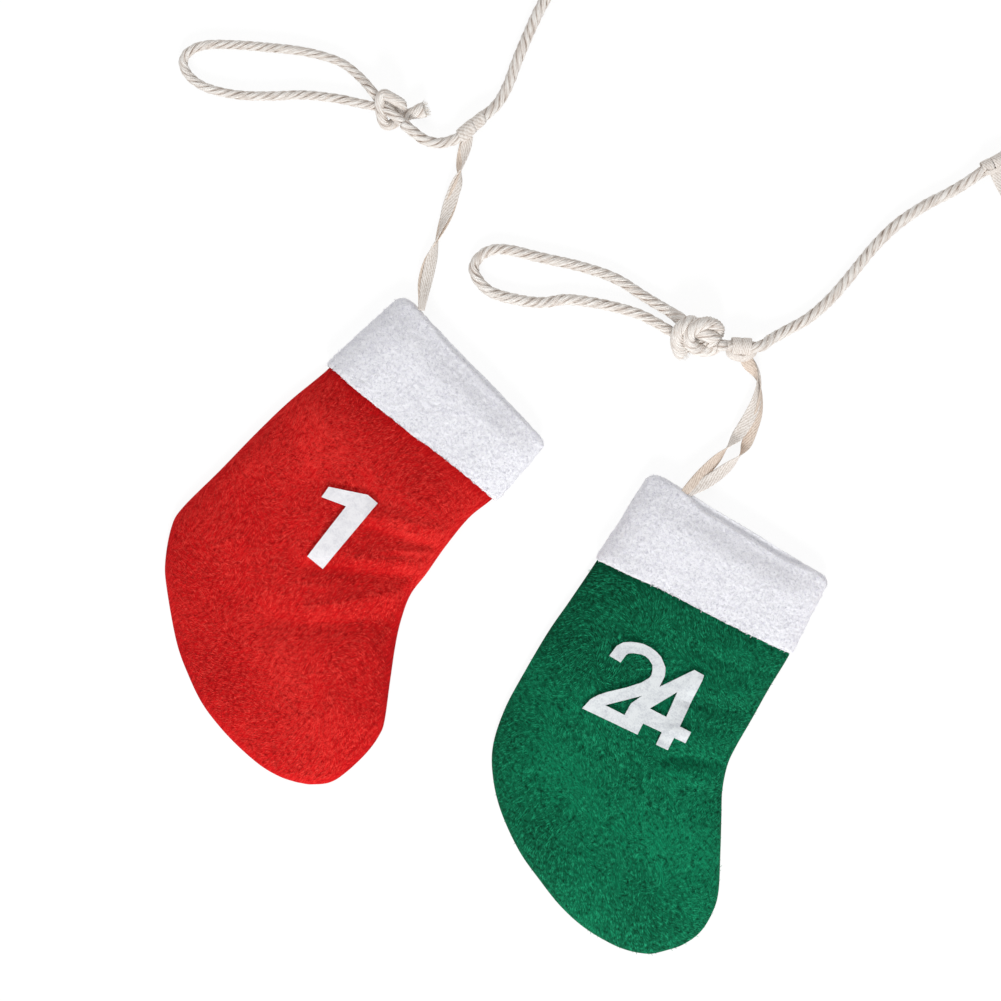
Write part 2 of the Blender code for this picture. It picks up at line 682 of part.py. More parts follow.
def build():
    """Build the whole garland and print its measures."""
    for piece in list(bpy.data.objects):
        bpy.data.objects.remove(piece, do_unlink=True)
    garland = Garland()
    bags = {colour: bag_mesh(colour) for colour in TOE_REACH}
    cuff = cuff_mesh()
    places = row_places()
    plain = {}
    ties = {}

    def tied_cuff(corner_at, turn, side, key):
        if key not in plain:
            band = garland.add("band", cuff.copy(), None, corner_at, turn)
            route = plain_route(corner_at, turn, WELD)
            plain[key] = joined(garland, f"cuff_{key}", band, hanger_pieces(garland, route, side, ROPE_ON_TAPE))
            plain[key].transform(
                Matrix.Rotation(-turn, 4, "Z") @ Matrix.Translation(-corner_at)
            )
        return plain[key]

    for number in range(1, STOCKINGS + 1):
        colour = colour_of(number)
        name = f"{number:02d}"
        if number == 1:
            tie, turn, corner = layout_point(FIRST_TIE), FIRST_ANGLE, layout_point(FIRST_CORNER)
        elif number == STOCKINGS:
            tie, turn, corner = layout_point(LAST_TIE), LAST_ANGLE, layout_point(LAST_CORNER)
        elif number < UPPER_ROW + 2:
            tie, turn = places[number], math.pi
            corner = tie + Vector((TAPE_INSET, TAPE_DROP + CUFF_BACK, 0.0))
        else:
            tie, turn = places[number], 0.0
            corner = tie - Vector((TAPE_INSET, TAPE_DROP + CUFF_BACK, 0.0))
            if number == STOCKINGS - 1:
                tie = tie - Vector((SIDE_SHIFT, 0.0, 0.0))
        height = ROPE_BY_KNOT if number == STOCKINGS else ROPE_ON_TAPE
        down = Vector((0.0, 0.0, height))
        pivot = garland.empty(f"pivot_{name}", tie + down, garland.root)
        at = corner - tie
        ties[number] = pivot
        garland.add(f"stocking_{name}", bags[colour], pivot, at - down, turn)
        if number in (1, STOCKINGS):
            garland.add(f"cuff_{name}", cuff, pivot, at - down, turn)
            table = FIRST_HANGER_ROUTE if number == 1 else LAST_HANGER_ROUTE
            side = FIRST_TIE_ANGLE if number == 1 else LAST_TIE_ANGLE
            route = photographed_route(table, tie, at, turn)
            first, *others = hanger_pieces(garland, route, side, height)
            mesh = joined(garland, f"hanger_tape_{name}", first, others)
            garland.add(f"hanger_tape_{name}", mesh, pivot, -down)
            outlines = (ONE_SHARES,) if number == 1 else (LAST_OUTLINE_SHARES, *LAST_HOLE_SHARES)
            spot = NUMBER_ONE_PLACE if number == 1 else NUMBER_LAST_PLACE
            lift = Vector((0.0, 0.0, BAG_HEIGHT + GAP + NUMBER_THICK / 2))
            place = at + Matrix.Rotation(turn, 3, "Z") @ Vector((*spot, 0.0)) + lift - down
            garland.add(f"number_{name}", number_data(f"number_{name}", outlines), pivot, place, turn)
        else:
            key = "aside" if number == STOCKINGS - 1 else ("upper" if turn else "lower")
            side = SIDE_TIE_ANGLE if key == "aside" else turn
            garland.add(f"cuff_{name}", tied_cuff(at, turn, side, key), pivot, at - down, turn)

    first = end_loop_points(FIRST_KNOT, FIRST_KNOT_ANGLE, FIRST_KNOT_TURNS, FIRST_LOOP_ROUTE, FIRST_TAIL)
    last = end_loop_points(LAST_KNOT, LAST_KNOT_ANGLE, LAST_KNOT_TURNS, LAST_LOOP_ROUTE, LAST_TAIL)
    line = line_points(exit_points(first[0], FIRST_KNOT_ANGLE), exit_points(last[0], LAST_KNOT_ANGLE)[::-1])
    garland.add("end_loop_first", rope_data("end_loop_first", first, 1), garland.root)
    garland.add("end_loop_last", rope_data("end_loop_last", last, 1), garland.root)
    garland.add("rope_line", rope_data("rope_line", line, 2), garland.root)

    bpy.context.view_layer.update()
    corners = []
    for piece in garland.collection.objects:
        if piece.type == "MESH":
            frame = piece.matrix_world.copy()
            corners += [frame @ vertex.co for vertex in piece.data.vertices]
    low = [min(corner[k] for corner in corners) for k in range(2)]
    high = [max(corner[k] for corner in corners) for k in range(2)]
    garland.root.location = (-(low[0] + high[0]) / 2, -(low[1] + high[1]) / 2, 0.0)
    bpy.context.view_layer.update()
    print("shift", [round(v, 5) for v in garland.root.location])
    print("rope points", len(line), "length", round(route_length(line), 4))
    for name, points in (("first", first), ("last", last)):
        print(
            name, "end points", len(points), "length", round(route_length(points), 4),
            "least gap to itself", round(least_gap(points, ROPE_THICK) / MM, 2), "mm",
        )
    for number, pivot in ties.items():
        print("tie", number, [round(v, 5) for v in pivot.matrix_world.translation])


build()
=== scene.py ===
"""Looks of the garland calendar: 24 felt stockings with fleece cuffs, tied by cotton tapes to a cotton rope.

Each sub-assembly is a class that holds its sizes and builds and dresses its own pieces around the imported
part. Lengths are in metres, +Z is up, and the garland lies flat on a pale floor, as photographed.
"""

import json
import logging
import math
from dataclasses import dataclass, field
from enum import Enum
from typing import Callable, Iterable, Sequence

import bmesh
import bpy
import numpy as np
from mathutils import Matrix, Vector, noise
from mathutils.bvhtree import BVHTree

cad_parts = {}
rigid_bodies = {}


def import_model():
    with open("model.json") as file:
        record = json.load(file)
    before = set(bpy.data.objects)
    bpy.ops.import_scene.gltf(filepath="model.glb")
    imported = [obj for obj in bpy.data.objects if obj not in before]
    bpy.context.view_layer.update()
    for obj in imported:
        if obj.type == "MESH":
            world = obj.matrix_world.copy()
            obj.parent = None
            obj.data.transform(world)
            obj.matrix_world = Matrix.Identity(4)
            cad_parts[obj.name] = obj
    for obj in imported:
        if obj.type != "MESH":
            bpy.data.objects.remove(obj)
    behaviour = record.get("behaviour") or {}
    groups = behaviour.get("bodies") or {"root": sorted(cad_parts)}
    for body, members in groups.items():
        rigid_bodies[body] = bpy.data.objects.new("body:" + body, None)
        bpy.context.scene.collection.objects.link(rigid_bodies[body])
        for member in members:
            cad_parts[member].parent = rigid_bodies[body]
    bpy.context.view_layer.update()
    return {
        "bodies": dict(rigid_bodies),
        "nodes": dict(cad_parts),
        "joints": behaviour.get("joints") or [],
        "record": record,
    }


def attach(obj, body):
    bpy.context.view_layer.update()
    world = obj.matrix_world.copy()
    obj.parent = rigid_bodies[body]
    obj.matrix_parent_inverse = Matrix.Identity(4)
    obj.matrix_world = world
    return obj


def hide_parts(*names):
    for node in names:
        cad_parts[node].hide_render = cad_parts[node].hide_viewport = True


LOG = logging.getLogger("garland")
MM = 0.001
PHOTO_PIXEL = 0.4 * MM
PHOTO_CENTRE = 500.5
PHOTO_SIDE = 1001
UP = Vector((0.0, 0.0, 1.0))
WHITE = (1.0, 1.0, 1.0, 1.0)

FIRST_NUMBER = 1
LAST_NUMBER = 24
PHOTOGRAPHED = (FIRST_NUMBER, LAST_NUMBER)
# The first stocking of the row that comes back, and the one whose tie shows at the photograph's edge
RETURN_NUMBER = 14
EDGE_NUMBER = 23

Point = tuple[float, float]
Triple = tuple[float, float, float]
Array = np.ndarray
Mesh = bpy.types.Mesh
Piece = bpy.types.Object
Socket = bpy.types.NodeSocket


def srgb(red: float, green: float, blue: float) -> tuple[float, float, float, float]:
    """Turn an 8-bit display colour into the linear colour that shaders take.

    Args:
        red: 0 to 255.
        green: 0 to 255.
        blue: 0 to 255.

    Returns:
        The linear colour with full alpha.
    """

    def linear(value: float) -> float:
        """Turn one channel."""
        share = value / 255.0
        return share / 12.92 if share <= 0.04045 else ((share + 0.055) / 1.055) ** 2.4

    return linear(red), linear(green), linear(blue), 1.0


class Felt(Enum):
    """The two felts of the stockings."""

    RED = "red"
    GREEN = "green"


class Detail(Enum):
    """How fine a stocking is built: near the camera, or beside its view."""

    NEAR = "near"
    FAR = "far"


# Materials


def new_node(tree: bpy.types.NodeTree, kind: str, values: dict[str, object]) -> bpy.types.Node:
    """Add a node and set its properties and inputs by name.

    Args:
        tree: the tree that gets the node.
        kind: the node's type name.
        values: properties, or inputs when no property has that name.

    Returns:
        The new node.
    """
    made = tree.nodes.new(kind)
    for key, value in values.items():
        if hasattr(made, key):
            setattr(made, key, value)
        else:
            made.inputs[key.replace("_", " ")].default_value = value
    return made


class Shader:
    """A small helper that builds one material's nodes."""

    def __init__(self, name: str) -> None:
        """Start a material with its Principled shader.

        Args:
            name: the material's name.
        """
        self.material = bpy.data.materials.new(name)
        self.material.use_nodes = True
        self.tree = self.material.node_tree
        self.surface = self.tree.nodes["Principled BSDF"]

    def node(self, kind: str, **values: object) -> bpy.types.Node:
        """Add a node with its properties and inputs."""
        return new_node(self.tree, kind, values)

    def link(self, start: Socket, end: Socket) -> None:
        """Join two sockets."""
        self.tree.links.new(start, end)

    def coordinates(
        self, from_uv: bool, turn: float, scale: Sequence[float], warp: float = 0.0, slow_scale: float = 70.0
    ) -> Socket:
        """Return turned and scaled coordinates for a pattern.

        Args:
            from_uv: read the piece's own map, or else its Object coordinates.
            turn: angle about Z in radians.
            scale: pattern units a metre, for each axis.
            warp: how far, in metres, slow noise pushes the pattern aside.
            slow_scale: pattern units a metre of that slow noise.

        Returns:
            The coordinates' socket.
        """
        source = self.node("ShaderNodeTexCoord").outputs["UV" if from_uv else "Object"]
        if warp:
            slow = self.node("ShaderNodeTexNoise", Scale=slow_scale, Detail=2.0)
            self.link(source, slow.inputs["Vector"])
            shift = self.node("ShaderNodeVectorMath", operation="MULTIPLY_ADD")
            shift.inputs[1].default_value = (warp, warp, warp)
            self.link(slow.outputs["Color"], shift.inputs[0])
            self.link(source, shift.inputs[2])
            source = shift.outputs[0]
        turned = self.node("ShaderNodeMapping", Rotation=(0.0, 0.0, turn))
        self.link(source, turned.inputs["Vector"])
        scaled = self.node("ShaderNodeMapping", Scale=tuple(scale))
        self.link(turned.outputs["Vector"], scaled.inputs["Vector"])
        return scaled.outputs["Vector"]

    def noise(self, vector: Socket, detail: float = 2.0, roughness: float = 0.5) -> Socket:
        """Return noise of unit size over the given coordinates.

        Args:
            vector: the coordinates.
            detail: octaves of finer noise.
            roughness: how strong each finer octave is.

        Returns:
            The noise, from 0 to 1.
        """
        made = self.node("ShaderNodeTexNoise", Scale=1.0, Detail=detail, Roughness=roughness)
        self.link(vector, made.inputs["Vector"])
        return made.outputs["Fac"]

    def spread(self, value: Socket, low: float, high: float) -> Socket:
        """Stretch a value so that low becomes 0 and high becomes 1.

        Args:
            value: the value's socket.
            low: what becomes 0.
            high: what becomes 1.

        Returns:
            The stretched value, kept between 0 and 1.
        """
        made = self.node("ShaderNodeMapRange", clamp=True, From_Min=low, From_Max=high)
        self.link(value, made.inputs["Value"])
        return made.outputs["Result"]

    def mix_values(self, a: Socket, b: Socket, share: float) -> Socket:
        """Mix two values.

        Args:
            a: the first value.
            b: the second value.
            share: how much of the second there is in the mix.

        Returns:
            The mixed value.
        """
        made = self.node("ShaderNodeMix", data_type="FLOAT")
        made.inputs[0].default_value = share
        self.link(a, made.inputs[2])
        self.link(b, made.inputs[3])
        return made.outputs[0]

    def ramp(self, value: Socket, stops: Sequence[tuple[float, Sequence[float]]]) -> Socket:
        """Return the colour that a ramp gives for a value.

        Args:
            value: the value's socket.
            stops: the ramp's places and colours.

        Returns:
            The colour.
        """
        made = self.node("ShaderNodeValToRGB")
        ramp = made.color_ramp
        while len(ramp.elements) < len(stops):
            ramp.elements.new(0.5)
        for element, (place, colour) in zip(ramp.elements, stops):
            element.position = place
            element.color = colour
        self.link(value, made.inputs["Fac"])
        return made.outputs["Color"]

    def multiplied(self, colour: Socket, by: Sequence[float], share: Socket) -> Socket:
        """Multiply a colour by a fixed one.

        Args:
            colour: the colour to darken.
            by: the fixed colour.
            share: where the fixed colour counts, from 0 to 1.

        Returns:
            The multiplied colour.
        """
        made = self.node("ShaderNodeMix", data_type="RGBA", blend_type="MULTIPLY")
        made.inputs[7].default_value = by
        self.link(share, made.inputs[0])
        self.link(colour, made.inputs[6])
        return made.outputs[2]

    def bump(self, height: Socket, strength: float, distance: float) -> None:
        """Raise the surface by a height pattern, over any earlier one.

        Args:
            height: the pattern.
            strength: its share, from 0 to 1.
            distance: its height in metres.
        """
        made = self.node("ShaderNodeBump", Strength=strength, Distance=distance)
        self.link(height, made.inputs["Height"])
        before = self.surface.inputs["Normal"].links
        if before:
            self.link(before[0].from_socket, made.inputs["Normal"])
        self.link(made.outputs["Normal"], self.surface.inputs["Normal"])

    def plain(self, roughness: float, sheen: float = 0.0) -> None:
        """Set the finish that is the same all over.

        Args:
            roughness: the surface's roughness.
            sheen: weight of the soft edge light of cloth.
        """
        self.surface.inputs["Roughness"].default_value = roughness
        self.surface.inputs["Specular IOR Level"].default_value = 0.15
        self.surface.inputs["Sheen Weight"].default_value = sheen
        self.surface.inputs["Sheen Tint"].default_value = WHITE

    def colour(self, socket: Socket) -> bpy.types.Material:
        """Take the base colour from a socket and return the material."""
        self.link(socket, self.surface.inputs["Base Color"])
        return self.material


@dataclass(frozen=True)
class FeltFinish:
    """Brushed felt: short combed fibres over a soft ground with painted patches of light and shade, and a
    painted shadow towards the cuff.
    """

    name: str
    dark: Triple
    middle: Triple
    light: Triple
    # painted shadow: the factor that darkens the felt's colour where the cuff shades it
    under_cuff: float
    # share of the painted patches of light and shade in the felt's colour
    patchy: float = 0.36
    comb: float = math.radians(35.0)
    shade_from: float = -24.0 * MM
    shade_to: float = -3.0 * MM

    def material(self) -> bpy.types.Material:
        """Build the felt's material."""
        shader = Shader(self.name)
        lengthwise = shader.coordinates(True, self.comb, (230.0, 1900.0, 230.0), 0.02, 24.0)
        combed = shader.noise(lengthwise, 3.0, 0.72)
        slanting = shader.coordinates(True, self.comb + 0.5, (420.0, 2100.0, 420.0), 0.02, 30.0)
        crossed = shader.noise(slanting, 3.0, 0.7)
        fibres = shader.mix_values(combed, crossed, 0.45)
        # painted light and shade: slow patches that stand in for uneven lighting
        patches = shader.noise(shader.coordinates(True, 0.3, (15.0, 24.0, 15.0)), 1.0, 0.5)
        patched = shader.spread(patches, 0.3, 0.7)
        value = shader.mix_values(shader.spread(fibres, 0.36, 0.64), patched, self.patchy)
        shade = shader.ramp(
            value, ((0.08, srgb(*self.dark)), (0.5, srgb(*self.middle)), (0.92, srgb(*self.light)))
        )
        # painted shadow: darken the felt by under_cuff towards the cuff, from shade_from to shade_to along
        # the map's Y
        along = shader.node("ShaderNodeSeparateXYZ")
        shader.link(shader.node("ShaderNodeTexCoord").outputs["UV"], along.inputs[0])
        limits = {"From Min": self.shade_from, "From Max": self.shade_to}
        shaded = shader.node("ShaderNodeMapRange", interpolation_type="SMOOTHSTEP", **limits)
        shader.link(along.outputs["Y"], shaded.inputs["Value"])
        shadow = (self.under_cuff, self.under_cuff, self.under_cuff, 1.0)
        darker = shader.multiplied(shade, shadow, shaded.outputs["Result"])
        shader.bump(fibres, 0.5, 0.4 * MM)
        shader.plain(1.0)
        return shader.colour(darker)


@dataclass(frozen=True)
class FibreFinish:
    """The loose fibres that stand on felt or fleece."""

    name: str
    dark: Triple
    light: Triple

    def material(self) -> bpy.types.Material:
        """Build the fibres' material."""
        shader = Shader(self.name)
        mixed = shader.noise(shader.coordinates(False, 0.0, (700.0, 700.0, 700.0)), 2.0)
        shade = shader.ramp(mixed, ((0.34, srgb(*self.dark)), (0.68, srgb(*self.light))))
        shader.plain(1.0)
        return shader.colour(shade)


@dataclass(frozen=True)
class FleeceFinish:
    """Short curled white fleece with a soft mottle of painted shade in the hollows between its curls."""

    name: str = "fleece_white"
    # painted shade: pit is the bluish grey of the shaded hollows, tuft the fleece's own white
    pit: Triple = (204, 205, 213)
    tuft: Triple = (246, 246, 250)

    def material(self) -> bpy.types.Material:
        """Build the fleece's material."""
        shader = Shader(self.name)
        curls = shader.noise(shader.coordinates(False, 0.4, (860.0, 1500.0, 1100.0), 0.008), 3.0, 0.65)
        nap = shader.noise(shader.coordinates(False, 1.1, (2200.0, 2200.0, 2200.0)), 2.0)
        # painted shade: the low places of the curls and the nap take the pit colour
        value = shader.mix_values(shader.spread(curls, 0.34, 0.62), nap, 0.28)
        shade = shader.ramp(value, ((0.06, srgb(*self.pit)), (0.42, srgb(*self.tuft))))
        shader.bump(curls, 0.4, 0.5 * MM)
        shader.bump(nap, 0.3, 0.2 * MM)
        shader.plain(1.0, sheen=0.05)
        return shader.colour(shade)


@dataclass(frozen=True)
class CutFeltFinish:
    """Thin stiff white felt that the numbers are cut from."""

    name: str
    pit: Triple
    top: Triple

    def material(self) -> bpy.types.Material:
        """Build the cut felt's material."""
        shader = Shader(self.name)
        mottle = shader.noise(shader.coordinates(False, 0.2, (300.0, 380.0, 300.0), 0.006), 4.0, 0.65)
        fine = shader.noise(shader.coordinates(False, 0.9, (1400.0, 2200.0, 1400.0)), 2.0)
        value = shader.mix_values(shader.spread(mottle, 0.3, 0.7), shader.spread(fine, 0.3, 0.7), 0.35)
        shade = shader.ramp(value, ((0.08, srgb(*self.pit)), (0.62, srgb(*self.top))))
        shader.bump(fine, 0.35, 0.2 * MM)
        shader.plain(1.0)
        return shader.colour(shade)


@dataclass(frozen=True)
class RopeFinish:
    """Twisted natural cotton: fine yarns along each strand, with painted shade in the grooves."""

    name: str = "cotton_rope"
    # painted shade: groove, side and crown are the shaded, half-lit and lit copies of the same cotton
    groove: Triple = (146, 126, 112)
    side: Triple = (220, 209, 200)
    crown: Triple = (249, 245, 240)
    yarn_slant: float = math.radians(-14.0)

    def material(self) -> bpy.types.Material:
        """Build the rope's material."""
        shader = Shader(self.name)
        yarns = shader.noise(shader.coordinates(True, self.yarn_slant, (150.0, 1250.0, 1.0)), 3.0, 0.7)
        fluff = shader.noise(shader.coordinates(False, 0.5, (260.0, 260.0, 260.0)), 3.0, 0.6)
        # painted shade: the groove depth stored by the tube darkens the colour in the grooves
        depth = shader.node("ShaderNodeAttribute", attribute_name="depth").outputs["Fac"]
        high = shader.mix_values(shader.spread(yarns, 0.4, 0.62), shader.spread(fluff, 0.3, 0.7), 0.22)
        value = shader.mix_values(depth, high, 0.6)
        shade = shader.ramp(
            value, ((0.12, srgb(*self.groove)), (0.42, srgb(*self.side)), (0.78, srgb(*self.crown)))
        )
        shader.bump(yarns, 0.8, 0.5 * MM)
        shader.plain(0.95)
        return shader.colour(shade)


@dataclass(frozen=True)
class TapeFinish:
    """Natural cotton twill tape: slanting ribs, a firm edge along each side, and painted shade on its inner
    face.
    """

    name: str = "cotton_tape"
    low: Triple = (209, 198, 188)
    high: Triple = (247, 241, 235)
    # painted shade: the warmer, darker tint of the inner face, for the tape's turned sections
    inner: Triple = (249, 239, 230)
    inner_from: float = 30.0 * MM
    rib_slant: float = math.radians(62.0)
    rib_scale: float = 330.0

    def material(self) -> bpy.types.Material:
        """Build the tape's material."""
        shader = Shader(self.name)
        ribs = shader.node(
            "ShaderNodeTexWave", wave_type="BANDS", bands_direction="X", Scale=1.0, Distortion=2.0
        )
        across_ribs = shader.coordinates(True, self.rib_slant, (self.rib_scale,) * 3)
        shader.link(across_ribs, ribs.inputs["Vector"])
        threads = shader.noise(shader.coordinates(True, 0.0, (1100.0, 1500.0, 1.0)), 2.0, 0.7)
        slubs = shader.noise(shader.coordinates(True, 0.0, (110.0, 420.0, 1.0)), 2.0)
        woven = shader.mix_values(ribs.outputs["Fac"], shader.spread(threads, 0.38, 0.62), 0.5)
        value = shader.mix_values(woven, shader.spread(slubs, 0.3, 0.7), 0.2)
        shade = shader.ramp(value, ((0.22, srgb(*self.low)), (0.7, srgb(*self.high))))
        # painted shade: the inner face is multiplied by the inner tint
        side = shader.node("ShaderNodeSeparateXYZ")
        shader.link(shader.node("ShaderNodeTexCoord").outputs["UV"], side.inputs[0])
        is_inner = shader.spread(side.outputs["Y"], self.inner_from, self.inner_from + MM)
        inner_shaded = shader.multiplied(shade, srgb(*self.inner), is_inner)
        shader.bump(woven, 0.42, 0.2 * MM)
        shader.plain(0.95)
        return shader.colour(inner_shaded)


@dataclass
class Palette:
    """All the garland's materials, each built once."""

    made: dict[str, bpy.types.Material] = field(default_factory=dict)

    def __post_init__(self) -> None:
        """Build every finish."""
        finishes = (
            # the felts' fourth number is the painted shadow under the cuff
            FeltFinish(
                "felt_red", (150, 7, 11), (202, 15, 19), (240, 58, 52), 0.94, comb=math.radians(-90.0)
            ),
            FeltFinish(
                "felt_green", (0, 44, 28), (1, 94, 62), (14, 144, 99), 0.74, comb=math.radians(28.0)
            ),
            FibreFinish("fibres_red", (173, 9, 13), (250, 70, 62)),
            FibreFinish("fibres_green", (0, 54, 34), (34, 164, 116)),
            FibreFinish("fibres_white", (226, 225, 234), (252, 251, 255)),
            FibreFinish("fibres_cotton", (222, 212, 200), (248, 243, 236)),
            FleeceFinish(),
            CutFeltFinish("felt_white", (216, 215, 221), (238, 237, 240)),
            # a greyer white felt, used for the 24
            CutFeltFinish("felt_white_grey", (192, 196, 202), (224, 228, 230)),
            CutFeltFinish("felt_white_edge", (150, 140, 120), (205, 198, 180)),
            RopeFinish(),
            TapeFinish(),
        )
        for finish in finishes:
            self.made[finish.name] = finish.material()

    def __getitem__(self, name: str) -> bpy.types.Material:
        """Return a material by name."""
        return self.made[name]


# Shapes


def smoothstep(value: Array | float) -> Array | float:
    """Ease a share from 0 to 1."""
    kept = np.clip(value, 0.0, 1.0)
    return kept * kept * (3.0 - 2.0 * kept)


def catmull(points: Array, steps: int) -> Array:
    """Read a smooth curve through points of any dimension.

    Args:
        points: one row a point.
        steps: rows read between two points.

    Returns:
        The curve's rows.
    """
    padded = np.vstack((points[:1], points, points[-1:]))
    shares = np.linspace(0.0, 1.0, steps, endpoint=False)[:, None]
    rows = []
    for before, start, end, after in zip(padded, padded[1:], padded[2:], padded[3:]):
        rows.append(
            0.5
            * (
                2 * start
                + (end - before) * shares
                + (2 * before - 5 * start + 4 * end - after) * shares**2
                + (3 * start - before - 3 * end + after) * shares**3
            )
        )
    return np.vstack((*rows, points[-1:]))


def marks(points: Array) -> Array:
    """Return how far along its line each point lies."""
    return np.concatenate(([0.0], np.cumsum(np.linalg.norm(np.diff(points[:, :3], axis=0), axis=1))))


def resample(points: Array, places: Array) -> Array:
    """Read rows at the given distances along a line.

    Args:
        points: the line's rows.
        places: distances along it.

    Returns:
        One row a distance.
    """
    at = marks(points)
    return np.column_stack([np.interp(places, at, points[:, k]) for k in range(points.shape[1])])


def even(points: Array, count: int, steps: int = 12) -> Array:
    """Read evenly spaced rows from the smooth curve through points.

    Args:
        points: one row a point.
        count: rows wanted.
        steps: rows of the fine curve between two points.

    Returns:
        The evenly spaced rows.
    """
    fine = catmull(points, steps)
    return resample(fine, np.linspace(0.0, marks(fine)[-1], count))


def filled(points: Array, longest: float) -> Array:
    """Add rows to a line's long spans, so that a smooth curve through it keeps its course.

    Args:
        points: the line's rows.
        longest: no span stays longer than this.

    Returns:
        The old rows and the added ones.
    """
    rows = [points[:1]]
    for start, end in zip(points, points[1:]):
        count = max(1, math.ceil(float(np.linalg.norm(end - start)) / longest))
        rows.append(start + (end - start) * (np.arange(1, count + 1) / count)[:, None])
    return np.vstack(rows)


def line_distance(places: Array, line: Array) -> Array:
    """Measure how far each place lies from an open line, in the plane.

    Args:
        places: one row a place, x and y.
        line: one row a point, x and y.

    Returns:
        The distances.
    """
    least = np.full(len(places), np.inf)
    for a, b in zip(line, line[1:]):
        along = b - a
        share = np.clip(((places - a) @ along) / max(along @ along, 1e-12), 0.0, 1.0)
        least = np.minimum(least, np.linalg.norm(places - (a + share[:, None] * along), axis=1))
    return least


def mesh_from_grid(
    name: str, grid: Array, wrap_rows: bool, cap: bool, maps: Array | None = None
) -> Mesh:
    """Make a mesh from rows of closed rings.

    Args:
        name: the mesh's name.
        grid: rows, ring places and three coordinates.
        wrap_rows: join the last ring to the first.
        cap: close the first and the last ring.
        maps: a UV pair for each grid place.

    Returns:
        The mesh.
    """
    rows, ring = grid.shape[:2]
    index = np.arange(rows * ring).reshape(rows, ring)
    ahead = np.roll(index, -1, axis=1)
    here_a, here_b = index[:-1], ahead[:-1]
    there_a, there_b = index[1:], ahead[1:]
    if wrap_rows:
        here_a, here_b = index, ahead
        there_a, there_b = np.roll(index, -1, axis=0), np.roll(ahead, -1, axis=0)
    faces = np.stack((here_a, here_b, there_b, there_a), axis=-1).reshape(-1, 4).tolist()
    if cap:
        faces.append(index[0].tolist())
        faces.append(index[-1][::-1].tolist())
    mesh = bpy.data.meshes.new(name)
    mesh.from_pydata(grid.reshape(-1, 3).tolist(), [], faces)
    if maps is not None:
        flat = maps.reshape(-1, 2)
        layer = mesh.uv_layers.new(name="surface")
        corners = np.zeros(len(mesh.loops), np.int32)
        mesh.loops.foreach_get("vertex_index", corners)
        layer.data.foreach_set("uv", flat[corners].ravel())
    mesh.validate()
    form = bmesh.new()
    form.from_mesh(mesh)
    bmesh.ops.recalc_face_normals(form, faces=form.faces)
    form.to_mesh(mesh)
    form.free()
    mesh.shade_smooth()
    return mesh


def put(name: str, mesh: Mesh, materials: Iterable[bpy.types.Material]) -> Piece:
    """Add a finished mesh to the scene as a piece at the origin.

    Args:
        name: the piece's name.
        mesh: its mesh.
        materials: its materials, in the order of their slots.

    Returns:
        The piece.
    """
    for material in materials:
        mesh.materials.append(material)
    piece = bpy.data.objects.new(name, mesh)
    bpy.context.scene.collection.objects.link(piece)
    return piece


def merged(name: str, meshes: Sequence[Mesh]) -> Mesh:
    """Join meshes into one, with their maps and attributes.

    Args:
        name: the joined mesh's name.
        meshes: the meshes to join.

    Returns:
        The joined mesh.
    """
    form = bmesh.new()
    for mesh in meshes:
        form.from_mesh(mesh)
    joined = bpy.data.meshes.new(name)
    form.to_mesh(joined)
    form.free()
    joined.shade_smooth()
    return joined


def shift_along_normals(mesh: Mesh, height: Callable[[Vector], float]) -> None:
    """Move each vertex along its normal.

    Args:
        mesh: the mesh to change.
        height: gives how far a point moves, in metres.
    """
    normals = [vertex.normal.copy() for vertex in mesh.vertices]
    for vertex, normal in zip(mesh.vertices, normals):
        vertex.co += normal * height(vertex.co)
    mesh.update()


@dataclass(frozen=True)
class Place:
    """A stocking's own frame: x to the toe, y to the mouth, from the leg's corner under the cuff."""

    corner: Vector
    turn: float

    def matrix(self) -> Matrix:
        """Return the frame's matrix."""
        return Matrix.Translation(self.corner) @ Matrix.Rotation(self.turn, 4, "Z")

    def world(self, x: float, y: float, z: float = 0.0) -> Vector:
        """Turn a point of the stocking, in metres, into the garland's frame."""
        return self.matrix() @ Vector((x, y, z))


@dataclass(frozen=True)
class Layout:
    """The photographed layout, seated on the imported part."""

    shift: Vector

    def at(self, pixel: Point, height: float = 0.0) -> Vector:
        """Turn a pixel of the layout into a point.

        Args:
            pixel: the pixel, which may lie outside the photograph.
            height: the point's height in metres.

        Returns:
            The point in the garland's frame, in metres.
        """
        across = (pixel[0] - PHOTO_CENTRE) * PHOTO_PIXEL
        up = (PHOTO_CENTRE - pixel[1]) * PHOTO_PIXEL
        return Vector((across + self.shift.x, up + self.shift.y, height))


# Geometry Nodes


